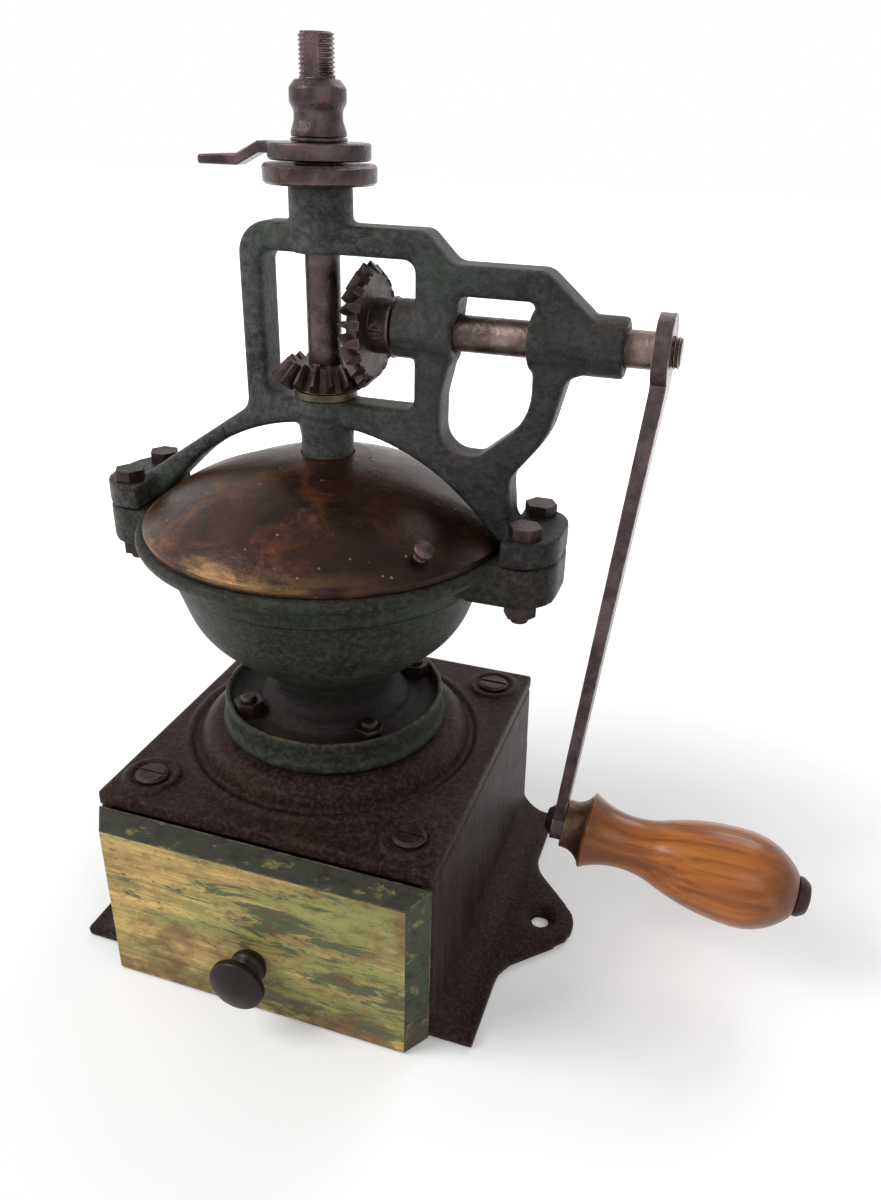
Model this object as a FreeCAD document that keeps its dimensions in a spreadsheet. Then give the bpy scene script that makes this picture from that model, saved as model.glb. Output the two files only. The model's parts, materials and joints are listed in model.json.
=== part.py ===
import FreeCAD, Part
import math
import operator
import os
from types import SimpleNamespace

import Sketcher

V = FreeCAD.Vector
X_AXIS, Y_AXIS, Z_AXIS = V(1, 0, 0), V(0, 1, 0), V(0, 0, 1)

# Cutters reach this far past the faces that they cut, and pieces that are fused this far into each other
PAST = 1

# Driving dimensions of the mill: millimetres, degrees and counts, one cell each.
# +Z is up, the drawer faces -Y and the crank is on +X. The origin is on the floor, under the spindle.
SIZES = {
    # open iron box with coved feet and two screw lugs
    "base_width": 170, "base_depth": 178, "base_height": 101, "wall_thick": 6, "wall_draft": 2,
    "foot_reach": 21, "foot_edge": 6, "foot_rise": 18, "foot_cove": 17,
    "lug_offset": 33, "lug_radius": 18, "lug_flank": 39, "lug_blend": 25,
    "lug_hole": 4.5, "lug_sink": 9, "lug_sink_depth": 3,
    "gusset_height": 20, "runner_width": 8, "runner_thick": 3,
    # top plate with its ring mouldings
    "plate_thick": 8, "plate_edge": 1.5, "chute_radius": 26,
    "moulding_height": 11, "moulding_radius": 59, "moulding_round": 11,
    "bead_radius": 76, "bead_width": 5,
    "roundel_outer": 13.4, "roundel_inner": 10.6, "roundel_height": 1.8, "roundel_floor": 0.2,
    "corner_inset_x": 18, "corner_inset_y": 19,
    "corner_screw": 3, "corner_head": 8, "corner_head_height": 2.6, "corner_screw_length": 24,
    "slot_width": 2, "slot_depth": 1.3,
    # drawer
    "board_thick": 12.3, "board_side_bevel": 8, "board_top_bevel": 4, "board_lift": 1,
    "drawer_side": 7, "drawer_side_height": 60, "drawer_floor": 4, "drawer_length": 164, "drawer_play": 1,
    "drawer_knob_height": 33, "drawer_knob_length": 21.5, "drawer_knob_radius": 13.7,
    "drawer_knob_base": 10, "drawer_knob_neck": 5, "drawer_knob_round": 2, "drawer_knob_edge": 1.2,
    "knob_screw": 2.5, "knob_screw_head": 5,
    # hopper: bowl, neck and flange in one casting
    "flange_radius": 56, "flange_step": 1.5, "flange_step_height": 4, "flange_height": 17,
    "flange_rim": 2.5, "flange_recess": 6, "neck_ring": 37.5, "neck_radius": 29, "neck_height": 34,
    "bowl_turn_radius": 66, "bowl_turn_height": 60, "bowl_round": 40, "bowl_wall": 5,
    "bowl_top_radius": 79, "lip_radius": 90, "lip_inner": 78, "lip_height": 6, "lip_edge": 1.5,
    "lip_drop": 3, "lip_blend": 2, "hopper_height": 108, "flange_slope": 1, "neck_ring_slope": 1.5,
    "neck_cove_rise": 2, "neck_cove": 6, "neck_blend": 4, "bowl_foot": 9, "bowl_foot_rise": 1.5,
    "stud_circle": 45.8, "stud_radius": 4, "stud_point": 1, "stud_length": 36,
    "stud_nut": 12.8, "stud_nut_height": 7.5,
    "hopper_lug_depth": 19, "hopper_lug_root": 4,
    # grinding set
    "burr_bore": 24.3, "burr_ledge": 2, "burr_ring_height": 30, "burr_ring_mouth": 21,
    "burr_ring_throat": 19.5, "burr_cone_top": 10, "burr_cone_foot": 17.5, "burr_cone_land": 4,
    "burr_cone_height": 30, "burr_flutes": 10, "burr_flute_depth": 1.6,
    "burr_nut": 22, "burr_nut_height": 7, "spindle_tail": 3,
    # yoke over the hopper
    "yoke_depth": 18, "yoke_edge": 3, "foot_inner": 90, "foot_outer": 113, "foot_half_depth": 25,
    "foot_corner": 18, "foot_thick": 12, "bolt_x": 98.5, "bolt_y": 15,
    "bolt_radius": 4, "bolt_head": 13, "bolt_head_height": 5.5, "bolt_nut_height": 6.5, "bolt_tail": 3,
    "arch_peak": 88, "arch_round": 99, "window_floor": 59.5, "window_top": 121, "window_left": 25.4,
    "window_right": 44, "window_round": 5, "column_left": 36, "yoke_top": 133, "yoke_corner": 14,
    "top_boss_radius": 13.4, "top_boss_height": 147.3, "low_boss_radius": 14, "low_boss_height": 60,
    "low_boss_neck": 12.5, "spigot_radius": 12, "spigot_depth": 29,
    "shaft_height": 92.8, "shaft_boss_radius": 12.3, "inner_boss_start": 34.4, "inner_boss_end": 61,
    "outer_boss_start": 92.5, "outer_boss_end": 131.7, "oil_hole": 1.6,
    "crank_window_left": 61, "crank_window_right": 94.5, "crank_window_top": 108.5,
    "crank_window_floor": 42, "crank_window_bulge": 5, "crank_window_heel": 12,
    "crank_window_slope": 19, "crank_window_lean": 1, "crank_window_step": 2,
    "crank_window_neck": 6, "crank_window_waist": 66, "crank_window_corner": 2,
    "crank_window_toe_round": 11, "crank_window_heel_round": 6, "crank_window_round": 26,
    "crank_window_neck_round": 4, "crank_window_waist_round": 20,
    "foot_blend": 6, "yoke_blend": 8, "bar_thick": 12.5, "bar_end": 4, "bar_start": 1, "bar_round": 7,
    "right_leg_in": 2, "right_leg_rise": 34, "strut_width": 9, "strut_rise": 54, "strut_round": 34,
    "strut_top": 79, "strut_top_width": 15, "boss_proud": 14, "boss_cover": 2, "bar_slope": 24,
    "bar_slope_rise": 11, "top_end": 4, "top_round": 5, "left_leg_rise": 53, "left_leg_in": 8,
    "left_toe_rise": 22, "left_toe_round": 12, "left_toe_out": 6, "low_boss_rim": 7,
    "inner_oil_hole": 10, "outer_oil_hole": 13,
    # domed lid in two halves
    "lid_radius": 86, "lid_rise": 31, "lid_skirt": 2.5, "lid_sheet": 1.6,
    "lid_lift": 1, "lid_gap": 0.4, "lid_eye": 20, "lid_knob_round": 1.4,
    "lid_knob_circle": 77.5, "lid_knob_angle": -37, "lid_knob_radius": 4.6, "lid_knob_height": 8,
    "lid_knob_stem": 2, "lid_knob_rivet": 1,
    # bevel gears, crank and handle
    "gear_module": 2.45, "crank_teeth": 20, "spindle_teeth": 18, "gear_face": 10.5, "tooth_share": 0.43,
    "pressure_angle": 20, "tooth_dedendum": 1.3, "tooth_sunk": 0.4,
    "gear_hub_radius": 11.5, "crank_hub_end": 32.5, "washer_thick": 1.5, "washer_radius": 12.8,
    "set_screw": 3, "set_screw_proud": 1, "set_screw_slot": 1, "set_screw_x": 28.5,
    "shaft_radius": 7.5, "shaft_start": 14.5, "shaft_shoulder": 143, "shaft_end": 153, "shaft_thread": 6.5,
    "arm_thick": 6.5, "arm_low_thick": 5.3, "arm_eye": 15, "arm_top_half": 10,
    "arm_low_half": 6.8, "arm_low_eye": 9, "arm_bend": 13, "arm_lean": 6, "arm_curve": 60,
    "crank_throw": 240,
    "pin_radius": 5, "pin_head": 8, "pin_head_height": 3.5,
    "ferrule_length": 11, "ferrule_small": 12.1, "ferrule_large": 17.8, "ferrule_collar": 3,
    "ferrule_cove": 10, "grip_length": 103, "grip_edge": 1, "grip_ridge": 19.2, "grip_waist": 16.8,
    "grip_waist_at": 38.5, "grip_waist_curve": 41,
    "grip_belly": 23.6, "grip_belly_at": 76.5, "grip_belly_curve": 110,
    "grip_end": 11, "grip_end_curve": 33.5,
    "cap_radius": 9.8, "cap_length": 8,
    # spindle and grind adjustment
    "spindle_radius": 7.5, "spindle_top": 201.6, "spindle_thread": 7.2,
    "thread_length": 16, "thread_flats": 11.6,
    "key_width": 4, "key_length": 12, "key_proud": 2.2, "key_sunk": 2.4, "thrust_ring": 3.5,
    "bush_radius": 10, "bush_depth": 17, "lock_ring_radius": 23.4, "lock_ring_thick": 7.6,
    "lock_ring_edge": 1,
    "lever_disc_radius": 21, "lever_disc_thick": 6.5, "lever_gap": 1.3,
    "lever_length": 54, "lever_width": 9, "lever_thick": 4.6, "lever_tip_taper": 1, "lever_drop": 5,
    "lever_bend": 5, "lever_bend_round": 3,
    "thrust_washer": 1.4, "thrust_washer_radius": 11.5,
    "sleeve_length": 20.4, "sleeve_foot": 11.2, "sleeve_waist": 9.8, "sleeve_head": 11.4,
    "sleeve_mouth": 9, "sleeve_cove": 6, "sleeve_round": 4, "sleeve_edge": 2,
    # clearances: turning and sliding fits, and free space between moving pieces
    "run_gap": 0.05, "free_gap": 0.3,
}


class Size:
    """A size with its value now and the sheet expression that drives it; sums of sizes stay bound."""

    def __init__(self, value, text):
        self.value = value
        self.text = text

    def __add__(self, other):
        return combine(self, operator.add, "+", other)

    def __sub__(self, other):
        return combine(self, operator.sub, "-", other)

    def __mul__(self, other):
        return combine(self, operator.mul, "*", other)

    def __truediv__(self, other):
        return combine(self, operator.truediv, "/", other)

    def __radd__(self, other):
        return combine(other, operator.add, "+", self)

    def __rsub__(self, other):
        return combine(other, operator.sub, "-", self)

    def __rmul__(self, other):
        return combine(other, operator.mul, "*", self)

    def __rtruediv__(self, other):
        return combine(other, operator.truediv, "/", self)

    def __neg__(self):
        return -1 * self


def as_size(value):
    """A plain number becomes a size that nothing drives."""
    return value if isinstance(value, Size) else Size(value, repr(float(value)))


def combine(left, rule, sign, right):
    left, right = as_size(left), as_size(right)
    return Size(rule(left.value, right.value), f"({left.text} {sign} {right.text})")


def root(size):
    """Square root of a size."""
    return Size(math.sqrt(size.value), f"sqrt({size.text})")


def tangent(angle):
    """Tangent of an angle in degrees."""
    return Size(math.tan(math.radians(angle.value)), f"tan({angle.text} * 1 deg)")


def cosine(angle):
    """Cosine of an angle in degrees."""
    return Size(math.cos(math.radians(angle.value)), f"cos({angle.text} * 1 deg)")


def sine(angle):
    """Sine of an angle in degrees."""
    return Size(math.sin(math.radians(angle.value)), f"sin({angle.text} * 1 deg)")


def number(value):
    return as_size(value).value


doc = FreeCAD.newDocument("coffee_mill")
sheet = doc.addObject("Spreadsheet::Sheet", "Sizes")
for row, (alias, value) in enumerate(SIZES.items(), 1):
    sheet.set(f"A{row}", alias)
    sheet.set(f"B{row}", str(value))
    sheet.setAlias(f"B{row}", alias)
doc.recompute()
S = SimpleNamespace(**{alias: Size(float(sheet.get(alias)), f"Sizes.{alias}") for alias in SIZES})

subparts = []


def bind(item, path, value):
    """Drive one property by the sheet."""
    item.setExpression(path, as_size(value).text)


def keep(item, label):
    """Name a sub-part and put it on the list that is written out."""
    item.Label = label
    subparts.append(item)
    return item


def place(item, x=0, y=0, z=0, axis=Z_AXIS, angle=0):
    """Turn an item about an axis, then move it to a point that the sheet holds."""
    spot = V(number(x), number(y), number(z))
    item.Placement = FreeCAD.Placement(spot, FreeCAD.Rotation(axis, number(angle)))
    for letter, size in zip("xyz", (x, y, z)):
        bind(item, f"Placement.Base.{letter}", size)
    if isinstance(angle, Size):
        bind(item, "Placement.Rotation.Angle", angle)
    return item


def new_body(label, kept=True):
    body = doc.addObject("PartDesign::Body", label)
    return keep(body, label) if kept else body


def new_sketch(body, plane, offset=0):
    """An empty sketch on one of the body's own planes, moved along the plane's normal."""
    sketch = body.newObject("Sketcher::SketchObject", body.Name + "_outline")
    support = next(feature for feature in body.Origin.OriginFeatures if feature.Role == plane)
    sketch.AttachmentSupport = [(support, "")]
    sketch.MapMode = "FlatFace"
    bind(sketch, "AttachmentOffset.Base.z", offset)
    return sketch


def fix(sketch, kind, where, size):
    """Add one dimension to a sketch and drive it by the sheet."""
    size = as_size(size)
    index = sketch.addConstraint(Sketcher.Constraint(kind, *where, size.value))
    name = f"size_{index}"
    sketch.renameConstraint(index, name)
    bind(sketch, f"Constraints.{name}", size)


def hold(sketch, geometry, vertex, x, y):
    """Hold a vertex at a place measured from the sketch's origin."""
    fix(sketch, "DistanceX", (-1, 1, geometry, vertex), x)
    fix(sketch, "DistanceY", (-1, 1, geometry, vertex), y)


def arc_between(start, end, centre, radius, left):
    """The arc from start to end about a centre; left says that it turns anticlockwise."""
    first, last = (start, end) if left else (end, start)
    angles = [math.atan2(point.y - centre.y, point.x - centre.x) for point in (first, last)]
    return Part.ArcOfCircle(Part.Circle(centre, Z_AXIS, radius), *angles)


def outline(sketch, corners, arcs=None):
    """A closed outline through corners (x, y) or (x, y, rounding radius).

    arcs gives a signed radius for the edge that leaves a corner: plus bends it to the left of the
    way of travel, minus to the right. Every corner, rounding and arc is held by the sheet.
    """
    arcs = arcs or {}
    count = len(corners)
    points = [V(number(corner[0]), number(corner[1])) for corner in corners]
    leave, arrive = list(points), list(points)
    rounds = {}
    for i, corner in enumerate(corners):
        if len(corner) < 3:
            continue
        back = (points[i - 1] - points[i]).normalize()
        ahead = (points[(i + 1) % count] - points[i]).normalize()
        half = back.getAngle(ahead) / 2
        radius = number(corner[2])
        arrive[i] = points[i] + back * (radius / math.tan(half))
        leave[i] = points[i] + ahead * (radius / math.tan(half))
        centre = points[i] + (back + ahead).normalize() * (radius / math.sin(half))
        left = back.cross(ahead).z < 0
        arc = sketch.addGeometry(arc_between(arrive[i], leave[i], centre, radius, left), False)
        rounds[i] = (arc, 1 if left else 2, 2 if left else 1)
    edges = []
    for i in range(count):
        start, end = leave[i], arrive[(i + 1) % count]
        if i not in arcs:
            edges.append((sketch.addGeometry(Part.LineSegment(start, end), False), 1, 2))
            continue
        radius = number(arcs[i])
        chord = end - start
        side = V(-chord.y, chord.x).normalize()
        height = math.sqrt(radius ** 2 - (chord.Length / 2) ** 2)
        centre = (start + end) / 2 + side * math.copysign(height, radius)
        left = radius > 0
        arc = sketch.addGeometry(arc_between(start, end, centre, abs(radius), left), False)
        edges.append((arc, 1 if left else 2, 2 if left else 1))
    for i, corner in enumerate(corners):
        before, _, before_end = edges[i - 1]
        after, after_start, _ = edges[i]
        if i in rounds:
            arc, arc_start, arc_end = rounds[i]
            sharp = sketch.addGeometry(Part.Point(points[i]), True)
            hold(sketch, sharp, 1, *corner[:2])
            sketch.addConstraint(Sketcher.Constraint("PointOnObject", sharp, 1, before))
            sketch.addConstraint(Sketcher.Constraint("PointOnObject", sharp, 1, after))
            sketch.addConstraint(Sketcher.Constraint("Tangent", before, before_end, arc, arc_start))
            sketch.addConstraint(Sketcher.Constraint("Tangent", after, after_start, arc, arc_end))
            fix(sketch, "Radius", (arc,), corner[2])
        else:
            sketch.addConstraint(Sketcher.Constraint("Coincident", before, before_end, after, after_start))
            hold(sketch, after, after_start, *corner)
    for i, radius in arcs.items():
        fix(sketch, "Radius", (edges[i][0],), radius if number(radius) > 0 else -radius)


def rectangle(left, right, low, high):
    return [(left, low), (right, low), (right, high), (left, high)]


def pad(body, plane, corners, length, arcs=None, offset=0, both_ways=False, holes=()):
    """Thicken an outline along the normal of its plane, or half to each side of it."""
    sketch = new_sketch(body, plane, offset)
    outline(sketch, corners, arcs)
    for hole in holes:
        outline(sketch, hole)
    feature = body.newObject("PartDesign::Pad", body.Name + "_pad")
    feature.Profile = sketch
    bind(feature, "Length", length)
    if both_ways:
        feature.SideType = "Symmetric"
    return feature


def turn(body, corners, arcs=None, kind="Revolution", angle=360, backwards=False):
    """Turn a half profile (radius, height) about the body's own Z axis."""
    sketch = new_sketch(body, "XZ_Plane")
    outline(sketch, corners, arcs)
    feature = body.newObject("PartDesign::" + kind, body.Name + "_turned")
    feature.Profile = sketch
    feature.ReferenceAxis = (sketch, ["V_Axis"])
    feature.Angle = angle
    feature.Reversed = backwards
    return feature


def solid(body, kind, x=0, y=0, z=0, axis=Z_AXIS, angle=0, **sizes):
    """Add or take away a box, cylinder or cone at a place."""
    feature = body.newObject("PartDesign::" + kind, body.Name + "_" + kind.lower())
    for path, size in sizes.items():
        bind(feature, path, size)
    return place(feature, x, y, z, axis, angle)


def along_x(body, kind, start, end, height, radius):
    """A cylinder along X at a height over the spindle axis."""
    return solid(body, kind, x=start, z=height, axis=Y_AXIS, angle=90, Radius=radius, Height=end - start)


def upright(body, kind, low, high, radius, x=0, y=0):
    """A cylinder along Z."""
    return solid(body, kind, x=x, y=y, z=low, Radius=radius, Height=high - low)


def soften(body, edges_wanted, radius):
    """Round the edges of a body's last feature that a test picks."""
    doc.recompute()
    base = body.Tip
    names = [f"Edge{i}" for i, edge in enumerate(base.Shape.Edges, 1) if edges_wanted(edge)]
    feature = body.newObject("PartDesign::Fillet", body.Name + "_softened")
    feature.Base = (base, names)
    bind(feature, "Radius", radius)
    return feature


def hexagon(across_flats):
    """Corners of a nut or a bolt head with two flats across Y."""
    reach = across_flats / math.sqrt(3)
    half = across_flats / 2
    right = [(reach / 2, -half), (reach, 0), (reach / 2, half)]
    return right + [(-x, -y) for x, y in right]


def group(label, pattern, places, facing=False):
    """Copies of one fastener at several places, as one sub-part of separate solids.

    Facing turns each copy so that its +Y side looks away from the spindle.
    """
    doc.recompute()
    copies = []
    for x, y, z in places:
        copy = pattern.Shape.copy()
        spot = V(number(x), number(y), number(z))
        if facing:
            copy.rotate(V(), Z_AXIS, math.degrees(math.atan2(spot.y, spot.x)) - 90)
        copy.translate(spot)
        copies.append(copy)
    feature = doc.addObject("Part::Feature", label)
    feature.Shape = Part.makeCompound(copies)
    return keep(feature, label)


def box_part(label, length, width, height, x, y, z):
    """A plain sawn board."""
    item = doc.addObject("Part::Box", label)
    for path, size in (("Length", length), ("Width", width), ("Height", height)):
        bind(item, path, size)
    return keep(place(item, x, y, z), label)


# Heights and places that several pieces share
half_width = S.base_width / 2
half_depth = S.base_depth / 2
wall_top = S.base_height - S.plate_thick
flange_seat = S.base_height + S.moulding_height
rim = flange_seat + S.hopper_height
foot_top = rim + S.foot_thick
shaft_axis = rim + S.shaft_height
boss_top = rim + S.top_boss_height
low_boss_top = rim + S.low_boss_height
gear_floor = low_boss_top + S.thrust_ring + S.free_gap
lever_low = boss_top + S.free_gap + S.lock_ring_thick + S.lever_gap
lever_top = lever_low + S.lever_disc_thick
sleeve_low = lever_top + S.thrust_washer + 2 * S.free_gap
sleeve_top = sleeve_low + S.sleeve_length
spindle_end = rim + S.spindle_top
spindle_hole = S.spindle_radius + S.run_gap
corner_x = half_width - S.corner_inset_x
corner_y = half_depth - S.corner_inset_y
corners_xy = [(side * corner_x, end * corner_y) for side in (-1, 1) for end in (-1, 1)]
stud_arm = S.stud_circle / math.sqrt(2)
studs_xy = [(side * stud_arm, end * stud_arm) for side in (-1, 1) for end in (-1, 1)]
bolts_xy = [(side * S.bolt_x, end * S.bolt_y) for side in (-1, 1) for end in (-1, 1)]


def base_box():
    """Drafted iron box, open in front and below, with coved feet, screw lugs and drawer runners."""
    body = new_body("base_box")
    low, high = new_sketch(body, "XY_Plane"), new_sketch(body, "XY_Plane", wall_top)
    foot_line = half_width + S.wall_draft
    outline(low, rectangle(-foot_line, foot_line, -half_depth, half_depth))
    outline(high, rectangle(-half_width, half_width, -half_depth, half_depth))
    loft = body.newObject("PartDesign::AdditiveLoft", "base_box_walls")
    loft.Profile = low
    loft.Sections = [high]
    loft.Ruled = True
    inside = half_width - S.wall_thick
    root_line = half_width - S.wall_thick / 2
    tip = half_width + S.foot_reach
    bulge = S.lug_offset - S.foot_reach
    share = 1 - S.lug_radius * S.lug_radius / (S.lug_flank * S.lug_flank)
    reach = (bulge + root(bulge * bulge - share * (bulge * bulge - S.lug_radius * S.lug_radius))) / share
    hole_x = half_width + S.lug_offset
    for side in (-1, 1):
        cove = [(side * root_line, 0), (side * tip, 0), (side * tip, S.foot_edge),
                (side * (half_width + S.wall_draft / 2), S.foot_rise), (side * root_line, S.foot_rise)]
        pad(body, "XZ_Plane", cove, S.base_depth, arcs={2: -side * S.foot_cove}, both_ways=True)
        lug_end = S.lug_flank + S.lug_blend
        lug = [(side * root_line, -lug_end), (side * tip, -lug_end),
               (side * tip, -S.lug_flank, S.lug_blend), (side * (tip + reach), 0, S.lug_radius),
               (side * tip, S.lug_flank, S.lug_blend),
               (side * tip, lug_end), (side * root_line, lug_end)]
        pad(body, "XY_Plane", lug, S.foot_edge)
        upright(body, "SubtractiveCylinder", -PAST, S.foot_edge + PAST, S.lug_hole, x=side * hole_x)
        solid(body, "SubtractiveCone", x=side * hole_x, z=S.foot_edge - S.lug_sink_depth,
              Radius1=S.lug_hole, Radius2=S.lug_sink, Height=S.lug_sink_depth)
    solid(body, "SubtractiveBox", x=-inside, y=-half_depth - PAST, z=-PAST,
          Length=2 * inside, Width=S.base_depth - S.wall_thick + PAST, Height=wall_top + 2 * PAST)
    gusset = S.corner_inset_x + S.roundel_inner
    for x, y in corners_xy:
        start = half_width - gusset if x.value > 0 else -half_width + S.wall_thick / 2
        solid(body, "AdditiveBox", x=start, y=y - S.roundel_inner, z=wall_top - S.gusset_height,
              Length=gusset - S.wall_thick / 2, Width=2 * S.roundel_inner, Height=S.gusset_height)
        upright(body, "SubtractiveCylinder", wall_top - S.gusset_height - PAST, wall_top + PAST,
                S.corner_screw + S.run_gap, x=x, y=y)
    for side in (-1, 1):
        start = inside - S.runner_width if side > 0 else -inside - S.wall_thick / 2
        solid(body, "AdditiveBox", x=start, y=-half_depth, Length=S.runner_width + S.wall_thick / 2,
              Width=S.base_depth - S.wall_thick / 2, Height=S.runner_thick)


def top_plate():
    """Square iron plate with a rounded seat for the hopper, a bead ring and four screw roundels."""
    body = new_body("top_plate")
    top = S.base_height
    solid(body, "AdditiveBox", x=-half_width, y=-half_depth, z=wall_top,
          Length=S.base_width, Width=S.base_depth, Height=S.plate_thick)
    soften(body, lambda edge: edge.BoundBox.ZMin > wall_top.value + S.plate_thick.value / 2, S.plate_edge)
    turn(body, [(S.chute_radius, wall_top), (S.moulding_radius + S.moulding_round, wall_top),
                (S.moulding_radius + S.moulding_round, top + S.moulding_height - S.moulding_round),
                (S.moulding_radius, flange_seat), (S.chute_radius, flange_seat)],
         arcs={2: S.moulding_round})
    inner, outer = S.bead_radius - S.bead_width / 2, S.bead_radius + S.bead_width / 2
    turn(body, [(inner, top - PAST), (outer, top - PAST), (outer, top), (inner, top)],
         arcs={2: S.bead_width / 2 + S.run_gap})
    upright(body, "SubtractiveCylinder", wall_top - PAST, flange_seat + PAST, S.chute_radius)
    for x, y in corners_xy:
        upright(body, "AdditiveCylinder", wall_top + PAST, top + S.roundel_height, S.roundel_outer,
                x=x, y=y)
        upright(body, "SubtractiveCylinder", top + S.roundel_floor, top + S.roundel_height + PAST,
                S.roundel_inner, x=x, y=y)
        upright(body, "SubtractiveCylinder", wall_top - PAST, top + PAST, S.corner_screw + S.run_gap,
                x=x, y=y)
    for x, y in studs_xy:
        upright(body, "SubtractiveCylinder", wall_top + S.plate_thick / 2, flange_seat + PAST,
                S.stud_radius + S.run_gap, x=x, y=y)


def corner_screws():
    """Four slotted screws that hold the plate to the box."""
    body = new_body("corner_screw", kept=False)
    head, height, length = S.corner_head, S.corner_head_height, S.corner_screw_length
    turn(body, [(0, -length), (S.corner_screw, -length), (S.corner_screw, 0), (head, 0),
                (head, height * 0.6), (head * 0.8, height), (0, height)])
    solid(body, "SubtractiveBox", x=-head - PAST, y=-S.slot_width / 2, z=height - S.slot_depth,
          Length=2 * (head + PAST), Width=S.slot_width, Height=S.slot_depth + PAST)
    group("corner_screws", body, [(x, y, S.base_height + S.roundel_floor) for x, y in corners_xy])


def drawer():
    """Wooden drawer: bevelled front board, sides, back and floor, with a turned knob."""
    back_face = -half_depth - S.free_gap
    face = back_face - S.board_thick
    top = wall_top - S.free_gap
    board = new_body("drawer_front")
    rear, front = new_sketch(board, "XZ_Plane", -back_face), new_sketch(board, "XZ_Plane", -face)
    outline(rear, rectangle(-half_width, half_width, S.board_lift, top))
    narrow = half_width - S.board_side_bevel
    outline(front, rectangle(-narrow, narrow, S.board_lift, top - S.board_top_bevel))
    loft = board.newObject("PartDesign::AdditiveLoft", "drawer_front_board")
    loft.Profile = rear
    loft.Sections = [front]
    loft.Ruled = True
    solid(board, "SubtractiveCylinder", y=back_face + PAST, z=S.drawer_knob_height, axis=X_AXIS, angle=90,
          Radius=S.knob_screw + S.run_gap, Height=S.board_thick + 2 * PAST)

    outside = half_width - S.wall_thick - S.drawer_play
    inside = outside - S.drawer_side
    low = S.runner_thick + S.free_gap
    side_size = (S.drawer_side, S.drawer_length, S.drawer_side_height)
    box_part("drawer_left_side", *side_size, -outside, back_face, low)
    box_part("drawer_right_side", *side_size, inside, back_face, low)
    box_part("drawer_floor", 2 * inside, S.drawer_length, S.drawer_floor, -inside, back_face, low)
    box_part("drawer_back", 2 * inside, S.drawer_side, S.drawer_side_height - S.drawer_floor,
             -inside, back_face + S.drawer_length - S.drawer_side, low + S.drawer_floor)

    knob = new_body("drawer_knob")
    long, wide, base = S.drawer_knob_length, S.drawer_knob_radius, S.drawer_knob_base
    hole = S.knob_screw + S.run_gap
    flare, neck, head, crown, bottom = long * 0.2, long * 0.45, long * 0.62, long * 0.8, long * 0.7
    turn(knob, [(hole, 0), (base * 0.7, 0), (base, flare, base * 0.35),
                (S.drawer_knob_neck, neck, S.drawer_knob_round), (wide, head, S.drawer_knob_edge),
                (wide, crown, S.drawer_knob_round), (0, long), (0, bottom), (hole, bottom)])
    place(knob, y=face, z=S.drawer_knob_height, axis=X_AXIS, angle=90)
    screw = new_body("knob_screw")
    tip = S.board_thick + long * 0.6
    turn(screw, [(0, -S.knob_screw), (S.knob_screw_head, 0), (S.knob_screw, 0), (S.knob_screw, tip),
                 (0, tip)])
    place(screw, y=back_face, z=S.drawer_knob_height, axis=X_AXIS, angle=90)


def ear(side, inner, outer):
    """Outline of a bolted ear at one side of the hopper."""
    depth, corner = S.foot_half_depth, S.foot_corner
    return [(side * inner, -depth), (side * outer, -depth, corner), (side * outer, depth, corner),
            (side * inner, depth)]


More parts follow.
